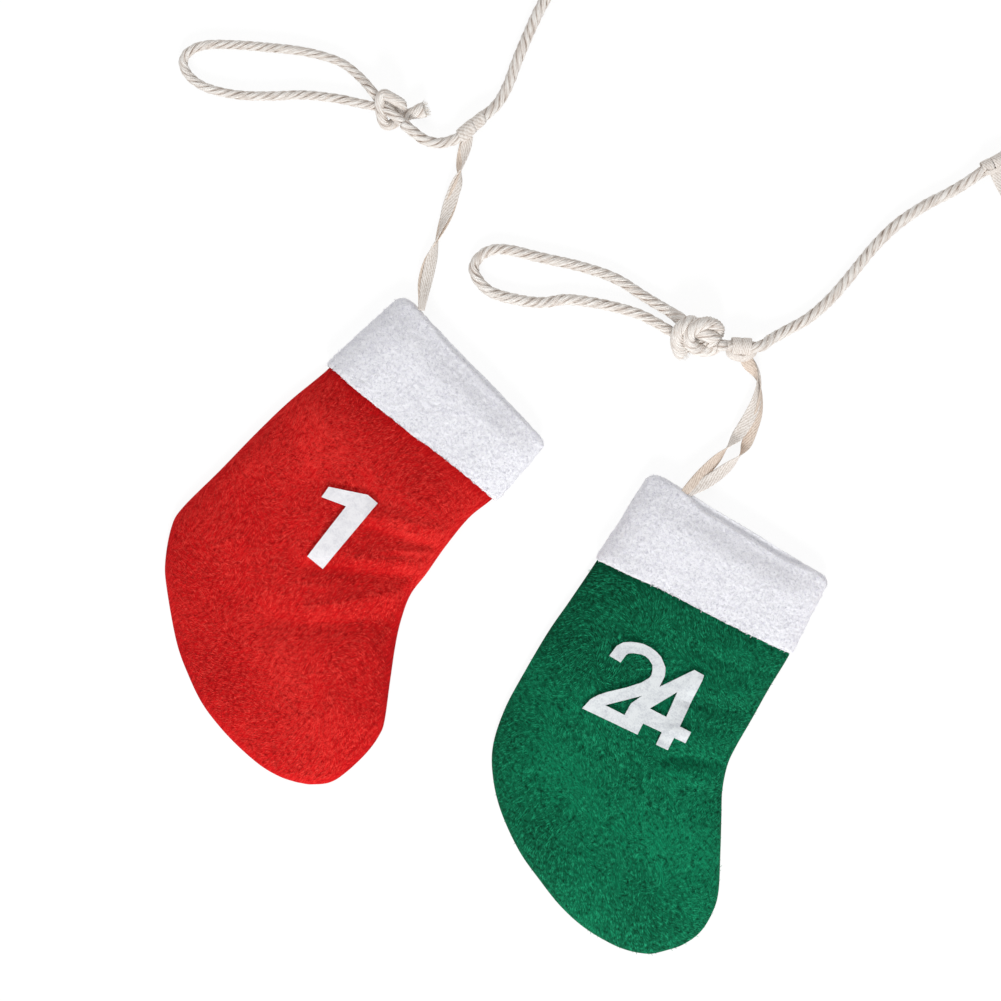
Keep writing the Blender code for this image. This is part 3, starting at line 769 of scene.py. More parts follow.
class Scatter:
    """A Geometry Nodes tree that lays short fibres over the upward faces of a piece."""

    SWIRL_SCALE = 34.0
    SWIRL_TURN = 0.6
    SMALLEST = 0.55
    LARGEST = 1.35

    def __init__(self, name: str, material: bpy.types.Material) -> None:
        """Build the tree.

        Args:
            name: the tree's name.
            material: the fibres' material.
        """
        self.tree = bpy.data.node_groups.new(name, "GeometryNodeTree")
        sockets = (
            ("Geometry", "NodeSocketGeometry", None),
            ("Density", "NodeSocketFloat", 1.0e6),
            ("Length", "NodeSocketFloat", 1.6 * MM),
            ("Width", "NodeSocketFloat", 0.09 * MM),
            ("Lift", "NodeSocketFloat", 0.25),
            ("Comb", "NodeSocketFloat", 0.6),
            ("Spread", "NodeSocketFloat", 0.7),
            ("Facing", "NodeSocketFloat", 0.2),
            ("Seed", "NodeSocketInt", 1),
        )
        self.identifiers: dict[str, str] = {}
        for label, kind, value in sockets:
            made = self.tree.interface.new_socket(label, in_out="INPUT", socket_type=kind)
            if value is not None:
                made.default_value = value
            self.identifiers[label] = made.identifier
        self.tree.interface.new_socket("Geometry", in_out="OUTPUT", socket_type="NodeSocketGeometry")
        self._wire(material)

    def _node(self, kind: str, **values: object) -> bpy.types.Node:
        """Add a node with its properties and inputs."""
        return new_node(self.tree, kind, values)

    def _wire(self, material: bpy.types.Material) -> None:
        """Place the tree's nodes and join them.

        Args:
            material: the fibres' material.
        """
        link = self.tree.links.new
        source = self._node("NodeGroupInput")
        target = self._node("NodeGroupOutput")
        normal = self._node("GeometryNodeInputNormal")
        split = self._node("ShaderNodeSeparateXYZ")
        link(normal.outputs[0], split.inputs[0])
        faces_up = self._node("FunctionNodeCompare", data_type="FLOAT", operation="GREATER_THAN")
        link(split.outputs["Z"], faces_up.inputs[0])
        link(source.outputs["Facing"], faces_up.inputs[1])
        points = self._node("GeometryNodeDistributePointsOnFaces")
        link(source.outputs["Geometry"], points.inputs["Mesh"])
        link(faces_up.outputs[0], points.inputs["Selection"])
        nap = self._node("GeometryNodeInputNamedAttribute", data_type="FLOAT", Name="nap")
        shown = self._node("ShaderNodeMath", operation="MULTIPLY")
        link(nap.outputs["Attribute"], shown.inputs[0])
        link(source.outputs["Density"], shown.inputs[1])
        link(shown.outputs[0], points.inputs["Density"])
        link(source.outputs["Seed"], points.inputs["Seed"])

        rise = self._node("ShaderNodeMath", operation="MULTIPLY")
        link(source.outputs["Length"], rise.inputs[0])
        link(source.outputs["Lift"], rise.inputs[1])
        half = self._node("ShaderNodeMath", operation="MULTIPLY")
        half.inputs[1].default_value = 0.5
        link(source.outputs["Length"], half.inputs[0])
        middle = self._node("ShaderNodeCombineXYZ")
        link(half.outputs[0], middle.inputs["X"])
        link(rise.outputs[0], middle.inputs["Z"])
        end = self._node("ShaderNodeCombineXYZ")
        link(source.outputs["Length"], end.inputs["X"])
        link(rise.outputs[0], end.inputs["Z"])
        origin = (0.0, 0.0, 0.0)
        fibre = self._node("GeometryNodeCurveQuadraticBezier", Resolution=2, Start=origin)
        link(middle.outputs[0], fibre.inputs["Middle"])
        link(end.outputs[0], fibre.inputs["End"])
        edge = self._node("ShaderNodeCombineXYZ")
        link(source.outputs["Width"], edge.inputs["X"])
        profile = self._node("GeometryNodeCurvePrimitiveLine", Start=origin)
        link(edge.outputs[0], profile.inputs["End"])
        strip = self._node("GeometryNodeCurveToMesh")
        link(fibre.outputs[0], strip.inputs["Curve"])
        link(profile.outputs[0], strip.inputs["Profile Curve"])

        here = self._node("GeometryNodeInputPosition")
        swirl = self._node("ShaderNodeTexNoise", Scale=self.SWIRL_SCALE, Detail=1.0)
        link(here.outputs[0], swirl.inputs["Vector"])
        bend = self._node("ShaderNodeMapRange", To_Min=-self.SWIRL_TURN, To_Max=self.SWIRL_TURN)
        link(swirl.outputs["Fac"], bend.inputs["Value"])
        chance = self._node("FunctionNodeRandomValue", data_type="FLOAT")
        low = self._node("ShaderNodeMath", operation="MULTIPLY")
        low.inputs[1].default_value = -1.0
        link(source.outputs["Spread"], low.inputs[0])
        link(low.outputs[0], chance.inputs[2])
        link(source.outputs["Spread"], chance.inputs[3])
        link(source.outputs["Seed"], chance.inputs["Seed"])
        angle = self._node("ShaderNodeMath", operation="ADD")
        link(chance.outputs[1], angle.inputs[0])
        link(source.outputs["Comb"], angle.inputs[1])
        total = self._node("ShaderNodeMath", operation="ADD")
        link(angle.outputs[0], total.inputs[0])
        link(bend.outputs["Result"], total.inputs[1])
        turn = self._node("ShaderNodeCombineXYZ")
        link(total.outputs[0], turn.inputs["Z"])
        turned = self._node("FunctionNodeEulerToRotation")
        link(turn.outputs[0], turned.inputs[0])
        spin = self._node("FunctionNodeRotateRotation", rotation_space="LOCAL")
        link(points.outputs["Rotation"], spin.inputs[0])
        link(turned.outputs[0], spin.inputs[1])
        sizes = self._node("FunctionNodeRandomValue", data_type="FLOAT")
        sizes.inputs[2].default_value = self.SMALLEST
        sizes.inputs[3].default_value = self.LARGEST
        copies = self._node("GeometryNodeInstanceOnPoints")
        link(points.outputs["Points"], copies.inputs["Points"])
        link(strip.outputs[0], copies.inputs["Instance"])
        link(spin.outputs[0], copies.inputs["Rotation"])
        link(sizes.outputs[1], copies.inputs["Scale"])
        real = self._node("GeometryNodeRealizeInstances")
        link(copies.outputs[0], real.inputs[0])
        dressed = self._node("GeometryNodeSetMaterial", Material=material)
        link(real.outputs[0], dressed.inputs[0])
        link(dressed.outputs[0], target.inputs[0])

    def grow(self, name: str, on: Piece, values: dict[str, float]) -> Piece:
        """Grow fibres on a piece and return them as a plain mesh piece.

        Args:
            name: the new piece's name.
            on: the piece that carries the fibres.
            values: the tree's inputs by name.

        Returns:
            The fibres.
        """
        carrier = bpy.data.objects.new(f"{name}_carrier", on.data)
        bpy.context.scene.collection.objects.link(carrier)
        modifier = carrier.modifiers.new("fibres", "NODES")
        modifier.node_group = self.tree
        for label, value in values.items():
            modifier[self.identifiers[label]] = value
        graph = bpy.context.evaluated_depsgraph_get()
        mesh = bpy.data.meshes.new_from_object(carrier.evaluated_get(graph), depsgraph=graph)
        mesh.name = name
        bpy.data.objects.remove(carrier, do_unlink=True)
        return put(name, mesh, ())


# Rope


@dataclass(frozen=True)
class RopeSizes:
    """The rope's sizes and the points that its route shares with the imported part."""

    thick: float = 4.5 * MM
    strands: int = 4
    lead: float = -16.8 * MM
    groove: float = 0.5 * MM
    flare: float = 0.4
    flare_reach: float = 7.0 * MM
    knot_swell: float = 0.17
    line_share: float = 0.96
    loop_shares: tuple[float, float] = (0.79, 0.93)
    on_tape: float = 3.75 * MM
    on_table: float = 2.3 * MM
    knot_lead: float = 2.7 * MM
    wrap_gap: float = 0.8 * MM
    gap: float = 0.3 * MM
    tie_half: float = 6.2 * MM
    first_tie: Point = (472, 128)
    first_tie_angle: float = math.radians(40.0)
    last_tie_angle: float = math.radians(-3.0)
    side_tie_angle: float = math.radians(25.0)
    side_rope_angle: float = math.radians(36.0)
    side_lead: tuple[Point, ...] = (
        (1320, 163.5), (1260, 159), (1200, 153), (1150, 147.5), (1110, 143.5), (1075, 141.5),
        (1045, 143.5), (1022, 149),
    )
    first_loop: tuple[Point, ...] = (
        (340, 100), (306, 96), (273, 97), (239, 96), (208, 89), (190, 77), (184, 63), (191, 52), (208, 46),
        (235, 46), (262, 48), (306, 53), (340, 63), (360, 78),
    )
    last_loop: tuple[Point, ...] = (
        (634, 313), (603, 305), (568, 300), (544, 303), (521, 301), (492, 293), (478, 280), (474, 267),
        (484, 254), (504, 250), (544, 259), (580, 267), (615, 279), (644, 297),
    )
    first_knot: Point = (390, 112)
    first_knot_angle: float = math.radians(-45.0)
    last_knot: Point = (692, 336)
    last_knot_angle: float = math.radians(-21.0)
    first_lead: tuple[tuple[Point, float], ...] = (((424, 141), 4.6), ((438, 144), 2.6), ((450, 142), 2.6))
    first_leave: tuple[Point, ...] = (
        (498, 104), (508, 86), (517, 62), (527, 38), (538, 14), (551, -8), (575, -24), (610, -29),
    )
    last_arrive: tuple[Point, ...] = (
        (954, 190.5), (926, 205), (895, 226), (870, 251), (850, 276), (829, 300), (807, 319), (782, 333),
    )
    bend_reach: float = 15.0 * MM
    bend_steps: int = 6
    longest_span: float = 14.0 * MM
    waver_scale: float = 38.0
    waver_seed: float = 9.0
    waver_turn: float = 0.9
    waver_swell: float = 0.07
    waver_shift: int = 40
    lobe_power: float = 0.6
    knot_pull: float = 0.6
    pull_reach: float = 4.0 * MM
    yarn_height: float = 0.16 * MM
    yarns_a_strand: int = 3
    view_reach: float = 0.21
    near_step: float = 0.55 * MM
    far_step: float = 2.0 * MM
    loop_step: float = 0.5 * MM


@dataclass(frozen=True)
class FraySizes:
    """The brush of yarns at a rope's cut end, with its lengths in mm."""

    yarns: int = 70
    fill: float = 0.9
    lengths: Point = (0.6, 2.2)
    opening: Point = (1.3, 2.0)
    root: float = 1.5
    belly: float = 0.2
    curl: float = 0.3
    droop: float = 0.25
    lowest: float = 0.3
    thick: float = 0.16


@dataclass(frozen=True)
class Hitch:
    """The turns that close an end knot, in mm from its middle, listed along the rope."""

    middle: Point
    core: tuple[Triple, ...]
    points: tuple[Triple, ...]


FIRST_HITCH = Hitch(
    (390, 112),
    (
        (3.2, -3.8, 8.6), (0.8, -1.9, 9.4), (-1.6, 0.1, 8.2), (-3.8, 1.4, 4.6), (-7.2, 2.0, 3.0),
        (-12.8, 3.2, 2.5),
    ),
    (
        (-7.2, 8.0, 4.2), (-4.2, 5.0, 2.5), (-0.6, 2.6, 2.4), (2.6, 0.6, 2.6), (4.7, 0.2, 4.6),
        (4.8, 2.0, 7.4), (2.6, 3.2, 9.6), (0.2, 4.4, 10.8), (-2.0, 5.3, 10.4), (-3.4, 3.6, 9.6),
        (-3.6, 1.0, 8.8), (-3.2, -2.0, 7.2), (-2.5, -4.5, 5.6), (-1.3, -6.0, 4.6), (0.9, -5.4, 3.4),
        (3.8, -3.4, 2.6), (7.4, -1.6, 3.2), (10.8, -0.7, 4.0), (14.0, 0.3, 4.4),
    ),
)
LAST_HITCH = Hitch(
    (694, 337),
    (
        (5.4, -3.0, 4.8), (0.8, -2.4, 4.4), (-4.8, 0.0, 2.6), (-10.4, 2.6, 2.3), (-16.8, 6.4, 2.3),
    ),
    (
        (-10.4, 10.2, 2.8), (-6.4, 7.2, 4.6), (-3.6, 4.4, 5.8), (0.0, 1.8, 7.6), (4.2, 0.2, 9.0),
        (8.2, -1.8, 6.8), (7.6, -4.8, 4.2), (3.4, -5.6, 4.6), (-0.6, -4.6, 6.4), (-2.8, -1.8, 9.2),
        (-1.8, 1.8, 11.4), (1.6, 4.2, 11.2), (5.6, 4.8, 9.4), (9.0, 3.0, 6.8), (8.8, 0.8, 3.4),
        (5.6, 2.2, 2.3), (2.0, 4.4, 2.5), (-0.8, 5.6, 5.0), (-2.9, 5.2, 9.4), (-5.5, 3.6, 10.8),
        (-7.2, 0.8, 9.8), (-7.4, -2.6, 7.8), (-6.0, -5.2, 5.8), (-4.4, -6.4, 4.8),
    ),
)


@dataclass
class Rope:
    """The garland's rope: its line, and the knotted loop at each end."""

    layout: Layout
    ties: dict[int, Vector]
    palette: Palette
    sizes: RopeSizes = field(default_factory=RopeSizes)

    def knot_frame(self, pixel: Point, angle: float) -> tuple[Vector, Vector]:
        """Return where a knot lies.

        Args:
            pixel: the knot's middle in the layout.
            angle: the rope's direction at the knot.

        Returns:
            The knot's middle, and the rope's direction through it.
        """
        radius = self.sizes.thick + self.sizes.wrap_gap
        middle = self.layout.at(pixel, radius + self.sizes.thick / 2 + self.sizes.gap)
        along = Vector((math.cos(angle), math.sin(angle), 0.0))
        return middle, along

    def end_points(
        self, pixel: Point, angle: float, turns: float, loop: Sequence[Point], hitch: Hitch
    ) -> tuple[Array, float]:
        """Return the path of a tied end: through the knot, round the loop, and round the core.

        Args:
            pixel: the knot's middle in the layout.
            angle: the rope's direction at the knot.
            turns: turns of the knot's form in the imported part, which set where its core ends.
            loop: the loop's pixels.
            hitch: the turns that close the knot.

        Returns:
            The path's points, and the distance at which the knot's turns begin.
        """
        sizes = self.sizes
        middle, along = self.knot_frame(pixel, angle)
        half = turns * (sizes.thick + sizes.wrap_gap) / 2
        leave = middle + along * (half + sizes.knot_lead)
        ring = [self.layout.at(place, sizes.on_table) for place in loop]
        centre = self.layout.at(hitch.middle)
        core = [centre + Vector(point) * MM for point in hitch.core]
        wraps = [centre + Vector(point) * MM for point in hitch.points]
        through = even(np.array([leave, leave - along * sizes.knot_lead / 2, *core, *ring, wraps[0]]), 60, 10)
        return np.vstack((through, np.array(wraps[1:]))), marks(catmull(through, 12))[-1]

    def line_points(self, first_exit: list[Vector], last_exit: list[Vector]) -> Array:
        """Return the route between the two knots: past both ends' ties and along both rows.

        Args:
            first_exit: the two points where the line leaves the first knot.
            last_exit: the two points where it enters the last knot.

        Returns:
            The route's points.
        """
        sizes = self.sizes

        def tie(place: Vector, angle: float) -> list[Vector]:
            """Return the rope's points on both sides of a tie."""
            along = Vector((math.cos(angle), math.sin(angle), 0.0)) * sizes.tie_half
            return [place - along, place + along]

        first_tie = tie(self.ties[FIRST_NUMBER], sizes.first_tie_angle)
        last_tie = tie(self.ties[LAST_NUMBER], sizes.last_tie_angle + math.pi)
        out_numbers = range(FIRST_NUMBER + 1, RETURN_NUMBER)
        upper = [point for number in out_numbers for point in tie(self.ties[number], 0.0)]
        lower = []
        for number in range(RETURN_NUMBER, LAST_NUMBER):
            turn = 0.0
            if number == EDGE_NUMBER:
                lower += [self.layout.at(pixel, sizes.on_tape) for pixel in sizes.side_lead]
                turn = sizes.side_rope_angle
            lower += tie(self.ties[number], math.pi + turn)
        bend = (upper[-1] + lower[0]) / 2
        radius = (upper[-1].y - lower[0].y) / 2
        bend_x = max(upper[-1].x, lower[0].x) + sizes.bend_reach
        around = [
            Vector((
                bend_x + radius * math.sin(math.pi * j / sizes.bend_steps),
                bend.y + radius * math.cos(math.pi * j / sizes.bend_steps),
                sizes.on_tape,
            ))
            for j in range(sizes.bend_steps + 1)
        ]
        lead = [self.layout.at(pixel, height * MM) for pixel, height in sizes.first_lead]
        away = [self.layout.at(pixel, sizes.on_table) for pixel in sizes.first_leave]
        back = [self.layout.at(pixel, sizes.on_table) for pixel in sizes.last_arrive]
        start = even(np.array([first_exit[1], *lead, first_tie[0]]), count=7, steps=10)
        leave = even(np.array([first_tie[1], *away, upper[0]]), count=14, steps=10)
        arrive = even(np.array([lower[-1], *back, last_tie[0]]), count=16, steps=10)
        rows = filled(np.array([*upper, *around, *lower]), sizes.longest_span)
        rest = [first_exit[:1], start, leave, rows[1:-1], arrive, [last_tie[1]], last_exit]
        return np.vstack([np.array(part) for part in rest])

    def tube(
        self,
        name: str,
        path: Array,
        step_of: Callable[[Array], Array],
        ring: int,
        share: float,
        tight_from: float,
    ) -> Mesh:
        """Lay the twisted rope along a path.

        Args:
            name: the mesh's name.
            path: the centre line's points, close together.
            step_of: gives the wanted step at each point of the path.
            ring: vertices round the rope.
            share: the laid rope's thickness as a share of its nominal one.
            tight_from: distance past which the rope is pulled tight in a knot.

        Returns:
            The rope's mesh, with a map along its strands and a groove depth that paints shade into its
            grooves.
        """
        sizes = self.sizes
        at = marks(path)
        steps = step_of(path)
        count = np.concatenate(([0.0], np.cumsum(np.diff(at) / ((steps[1:] + steps[:-1]) / 2))))
        places = np.interp(np.arange(int(count[-1]) + 1) * count[-1] / int(count[-1]), count, at)
        centre = resample(path, places)
        ahead = np.gradient(centre, axis=0)
        ahead /= np.linalg.norm(ahead, axis=1)[:, None]
        across = np.zeros_like(ahead)
        side = np.cross(ahead[0], (0.0, 0.0, 1.0))
        if np.linalg.norm(side) < 0.1:
            side = np.cross(ahead[0], (1.0, 0.0, 0.0))
        for k, direction in enumerate(ahead):
            side = side - direction * (side @ direction)
            side = side / np.linalg.norm(side)
            across[k] = side
        over = np.cross(ahead, across)
        angles = np.arange(ring) * 2 * math.pi / ring
        seed = share * sizes.waver_seed
        waver = np.array([noise.noise(Vector((place * sizes.waver_scale, seed, 0.0))) for place in places])
        phase = 2 * math.pi * places / sizes.lead + sizes.waver_turn * waver
        lobe = np.abs(np.sin(sizes.strands * angles / 2)) ** sizes.lobe_power
        slack = 1.0 - sizes.knot_pull * smoothstep((places - tight_from) / sizes.pull_reach)
        swell = share * (1.0 + sizes.waver_swell * np.roll(waver, sizes.waver_shift))
        if math.isfinite(tight_from):
            swell = swell * (1.0 + sizes.knot_swell * smoothstep((places - tight_from) / sizes.flare_reach))
            near_end = smoothstep((places - at[-1] + sizes.flare_reach) / sizes.flare_reach)
            swell = swell * (1.0 + sizes.flare * near_end)
        yarn = sizes.yarn_height * np.sin(angles * sizes.strands * sizes.yarns_a_strand)
        lift = -sizes.groove * (1.0 - lobe)[None, :] * slack[:, None] + yarn[None, :]
        radius = (sizes.thick / 2 + lift) * swell[:, None]
        turned = angles[None, :] + phase[:, None]
        cos, sin = np.cos(turned)[..., None], np.sin(turned)[..., None]
        grid = centre[:, None] + radius[..., None] * (across[:, None] * cos + over[:, None] * sin)
        round_it = np.broadcast_to(angles[None, :] * sizes.thick / 2, (len(places), ring))
        length = np.broadcast_to(places[:, None], (len(places), ring))
        mesh = mesh_from_grid(name, grid, False, True, np.stack((length, round_it), axis=-1))
        # painted shade: 0 deep in a groove, 1 on a strand's crown, shallower where a knot pulls the rope
        # tight
        shown = 1.0 - (1.0 - lobe)[None, :] * (0.35 + 0.65 * slack[:, None])
        depth = mesh.attributes.new("depth", "FLOAT", "POINT")
        depth.data.foreach_set("value", shown.ravel().astype(np.float32))
        return mesh

    def fray(self, name: str, end: Vector, along: Vector, seed: int) -> Piece:
        """Spread the rope's cut end into a brush of fine yarns.

        Args:
            name: the piece's name.
            end: the middle of the cut.
            along: the rope's direction there.
            seed: starts the scatter of the yarns.

        Returns:
            The brush.
        """
        chance = np.random.default_rng(seed)
        sizes = self.sizes
        brush = FraySizes()
        side = along.cross(UP).normalized()
        over = side.cross(along).normalized()
        meshes = []
        for k in range(brush.yarns):
            angle = chance.uniform(0.0, 2 * math.pi)
            reach = sizes.thick / 2 * math.sqrt(chance.uniform(0.0, 1.0)) * brush.fill
            out = side * math.cos(angle) + over * math.sin(angle)
            length = chance.uniform(*brush.lengths) * MM
            start = end + out * reach - along * brush.root * MM
            tip = end + out * reach * chance.uniform(*brush.opening) + along * length
            curl = side * chance.normal(0.0, brush.curl * MM) + over * chance.normal(0.0, brush.droop * MM)
            belly = (start + tip) / 2 + out * brush.belly * MM
            path = catmull(np.array([start, belly, tip + curl]), steps=4)
            path[:, 2] = np.maximum(path[:, 2], brush.lowest * MM)
            meshes.append(thread_mesh(f"{name}_{k}", path, brush.thick * MM))
        return put(name, merged(name, meshes), [self.palette["fibres_cotton"]])

    def build(self) -> None:
        """Build the rope's pieces and log their lengths."""
        sizes = self.sizes
        first, first_tight = self.end_points(
            sizes.first_knot, sizes.first_knot_angle, 2.0, sizes.first_loop, FIRST_HITCH
        )
        last, last_tight = self.end_points(
            sizes.last_knot, sizes.last_knot_angle, 3.0, sizes.last_loop, LAST_HITCH
        )
        exits = []
        for start, angle in ((first[0], sizes.first_knot_angle), (last[0], sizes.last_knot_angle)):
            along = Vector((math.cos(angle), math.sin(angle), 0.0))
            place = Vector(start)
            exits.append([place + along * sizes.gap, place + along * (sizes.gap + sizes.knot_lead / 2)])
        line = self.line_points(exits[0], exits[1][::-1])
        view = self.layout.at((PHOTO_CENTRE, PHOTO_CENTRE))

        def fine_near_view(path: Array) -> Array:
            """Return fine steps where the camera sees the rope, and coarse ones elsewhere."""
            away = np.maximum(np.abs(path[:, 0] - view.x), np.abs(path[:, 1] - view.y))
            return np.where(away < sizes.view_reach, sizes.near_step, sizes.far_step)

        def fine(path: Array) -> Array:
            """Return fine steps all along a loop."""
            return np.full(len(path), sizes.loop_step)

        routes = (
            ("rope_garland", "rope_line", line, fine_near_view, 36, "knot", sizes.line_share, math.inf),
            ("rope_loop_first", "end_loop_first", first, fine, 48, "bare", sizes.loop_shares[0], first_tight),
            ("rope_loop_last", "end_loop_last", last, fine, 48, "bare", sizes.loop_shares[1], last_tight),
        )
        for name, node, points, step_of, ring, far_end, share, tight in routes:
            path = catmull(points, 12)
            mesh = self.tube(name, path, step_of, ring, share, tight)
            piece = put(name, mesh, [self.palette["cotton_rope"]])
            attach(piece, "rope")
            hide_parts(node)
            LOG.info("%s: %.3f m of rope, %d faces", name, marks(path)[-1], len(mesh.polygons))
            if far_end == "bare":
                end = Vector(points[-1])
                brush = self.fray(f"{name}_fray", end, (end - Vector(points[-2])).normalized(), len(name))
                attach(brush, "rope")


def thread_mesh(name: str, path: Array, thick: float, sides: int = 3) -> Mesh:
    """Lay a fine thread along a path.

    Args:
        name: the mesh's name.
        path: the thread's points.
        thick: its thickness at the start.
        sides: faces round it.

    Returns:
        The thread, which tapers towards its end.
    """
    ahead = np.gradient(path, axis=0)
    ahead /= np.linalg.norm(ahead, axis=1)[:, None] + 1e-12
    side = np.cross(ahead, (0.31, 0.21, 0.93))
    side /= np.linalg.norm(side, axis=1)[:, None] + 1e-12
    over = np.cross(ahead, side)
    angles = np.arange(sides) * 2 * math.pi / sides
    taper = np.linspace(1.0, 0.6, len(path))[:, None, None] * thick / 2
    grid = path[:, None] + taper * (
        side[:, None] * np.cos(angles)[None, :, None] + over[:, None] * np.sin(angles)[None, :, None]
    )
    return mesh_from_grid(name, grid, False, True)


# Tapes


# Where the tape's two faces lie on its map
FACE_WIDTH = 5.0 * MM
OUTER_FACE = 20.0 * MM
INNER_FACE = 40.0 * MM
# Where a wrap starts about the rope and how far it winds, in degrees
WRAP_START = -40.0
WRAP_SWEEP = 300.0
WRAP_FACES = 6


def tape_ring(faces: int) -> Array:
    """Return a tape's section with thinner edges, as shares of its width and thickness.

    Args:
        faces: faces over the tape's width.

    Returns:
        One row a corner: its share across and its share up.
    """
    shares = np.linspace(-0.5, 0.5, faces + 1)
    lifts = 0.5 * (0.35 + 0.65 * (1.0 - np.abs(2 * shares) ** 6) ** 0.5)
    return np.array([*zip(shares, lifts), *zip(shares[::-1], -lifts[::-1])])


def ribbon_mesh(
    name: str, route: Array, thick: float, across: int, step: float,
    faces: tuple[float, float] = (OUTER_FACE, INNER_FACE),
) -> Mesh:
    """Lay a flat tape along a route.

    Args:
        name: the mesh's name.
        route: rows of x, y, z, width and twist in degrees.
        thick: the tape's thickness.
        across: faces over the tape's width.
        step: length of a face along it.
        faces: which of the map's faces lies up at the start, and which down.

    Returns:
        The tape, with a map in metres along and across it.
    """
    fine = catmull(route, 10)
    total = marks(fine)[-1]
    places = np.linspace(0.0, total, max(int(total / step), 3))
    rows = resample(fine, places)
    centre, width, twist = rows[:, :3], rows[:, 3], np.radians(rows[:, 4])
    ahead = np.gradient(centre, axis=0)
    ahead /= np.linalg.norm(ahead, axis=1)[:, None]
    level = np.column_stack((-ahead[:, 1], ahead[:, 0], np.zeros(len(ahead))))
    level /= np.linalg.norm(level, axis=1)[:, None] + 1e-12
    rise = np.cross(ahead, level)
    wide = level * np.cos(twist)[:, None] + rise * np.sin(twist)[:, None]
    over = np.cross(ahead, wide)
    ring = tape_ring(across)
    grid = centre[:, None] + (
        wide[:, None] * (ring[:, 0][None, :, None] * width[:, None, None])
        + over[:, None] * (ring[:, 1] * thick)[None, :, None]
    )
    side = np.where(ring[:, 1] > 0.0, faces[0], faces[1])
    over_face = ring[:, 0] * FACE_WIDTH + side
    maps = np.stack(np.broadcast_arrays(places[:, None], over_face[None, :]), axis=-1)
    return mesh_from_grid(name, grid, False, True, maps)


def wrap_mesh(
    name: str,
    tie: Vector,
    angle: float,
    radius: float,
    offset: float,
    start: float,
    sweep: float,
    width: float,
    slant: float,
    thick: float,
    step: float,
) -> Mesh:
    """Wind a tape round the rope.

    Args:
        name: the mesh's name.
        tie: the tie's middle.
        angle: the rope's direction at the tie.
        radius: from the rope's middle to the tape's.
        offset: from the tie's middle, along the rope.
        start: where the wrap starts, in degrees about the rope, 0 being the far side and 90 the top.
        sweep: how far it winds, in degrees.
        width: the tape's width.
        slant: how far the wrap travels along the rope.
        thick: the tape's thickness.
        step: length of a face.

    Returns:
        The wrap.
    """
    along = Vector((math.cos(angle), math.sin(angle), 0.0))
    far = Vector((-math.sin(angle), math.cos(angle), 0.0))
    count = max(int(radius * math.radians(abs(sweep)) / step), 8)
    shares = np.linspace(0.0, 1.0, count)
    ring = tape_ring(WRAP_FACES)
    grid = np.zeros((count, len(ring), 3))
    maps = np.zeros((count, len(ring), 2))
    for k, share in enumerate(shares):
        turn = math.radians(start + sweep * share)
        out = far * math.cos(turn) + UP * math.sin(turn)
        middle = tie + out * radius + along * (offset + slant * (share - 0.5))
        for j, (wide, over) in enumerate(ring):
            grid[k, j] = middle + along * (wide * width) + out * (over * thick)
            maps[k, j] = (radius * math.radians(sweep) * share, wide * FACE_WIDTH + OUTER_FACE)
    return mesh_from_grid(name, grid, False, True, maps)


@dataclass(frozen=True)
class TapeSizes:
    """The hanger tape's sizes: its thickness, its head round the rope, and a plain hanger's route."""

    thick: float = 0.55 * MM
    wrap_radius: float = 2.75 * MM
    wrap_offset: float = 2.3 * MM
    bight_width: float = 3.2 * MM
    bight_lean: float = 62.0
    bight_bow: float = 0.9 * MM
    inset: float = 17.0 * MM
    mouth: Point = (41.0 * MM, 6.2 * MM)
    sewn: Point = (34.0 * MM, 5.4 * MM)
    layer_gap: float = 0.7 * MM
    lying: float = 0.5 * MM
    lying_gap: float = 0.75 * MM
    arch: float = 1.2 * MM
    lead: float = 9.0 * MM
    rope_clear: float = 3.2 * MM
    under_tie: float = 1.2 * MM
    sway: float = 0.8 * MM
    swing: float = 12.0


# Routes of the two photographed hangers: pixel, height in mm, width in mm, twist in degrees
FIRST_FRONT_ROUTE = (
    ((468, 137), 3.0, 4.2, 0.0), ((466, 147), 2.6, 4.6, 14.0), ((462, 166), 2.8, 4.4, 66.0),
    ((457, 184), 2.8, 4.9, 150.0), ((449, 206), 2.7, 4.9, 190.0), ((439, 236), 3.1, 4.5, 264.0),
    ((432, 260), 3.4, 4.9, 330.0), ((427, 282), 4.6, 4.6, 352.0), ((424, 300), 6.8, 3.4, 368.0),
    ((422, 312), 8.0, 2.6, 365.0),
)
FIRST_BACK_ROUTE = (
    ((467, 137), 2.2, 4.2, 0.0), ((465, 147), 1.6, 4.6, -10.0), ((460, 167), 2.4, 4.3, 48.0),
    ((457.5, 184), 2.2, 4.7, 118.0), ((450.5, 206), 1.9, 4.7, 164.0), ((439, 236), 2.6, 4.5, 240.0),
    ((429, 261), 2.7, 4.8, 312.0), ((424, 282), 3.8, 4.6, 338.0), ((423, 300), 6.0, 3.4, 354.0),
    ((422, 312), 7.3, 2.6, 362.0),
)
LAST_FRONT_ROUTE = (
    ((740, 350), 3.0, 4.2, 0.0), ((747, 363), 3.2, 5.0, 12.0), ((755, 376), 3.2, 4.4, 74.0),
    ((757, 386), 3.6, 4.4, 112.0), ((755, 402), 3.8, 5.0, 148.0), ((748, 418), 3.6, 5.2, 170.0),
    ((738, 434), 3.4, 5.0, 196.0), ((728, 446), 3.4, 4.6, 262.0), ((716, 459), 3.8, 4.8, 318.0),
    ((700, 475), 5.6, 4.6, 345.0), ((686, 489), 7.6, 3.4, 358.0), ((680, 496), 8.2, 2.8, 360.0),
)
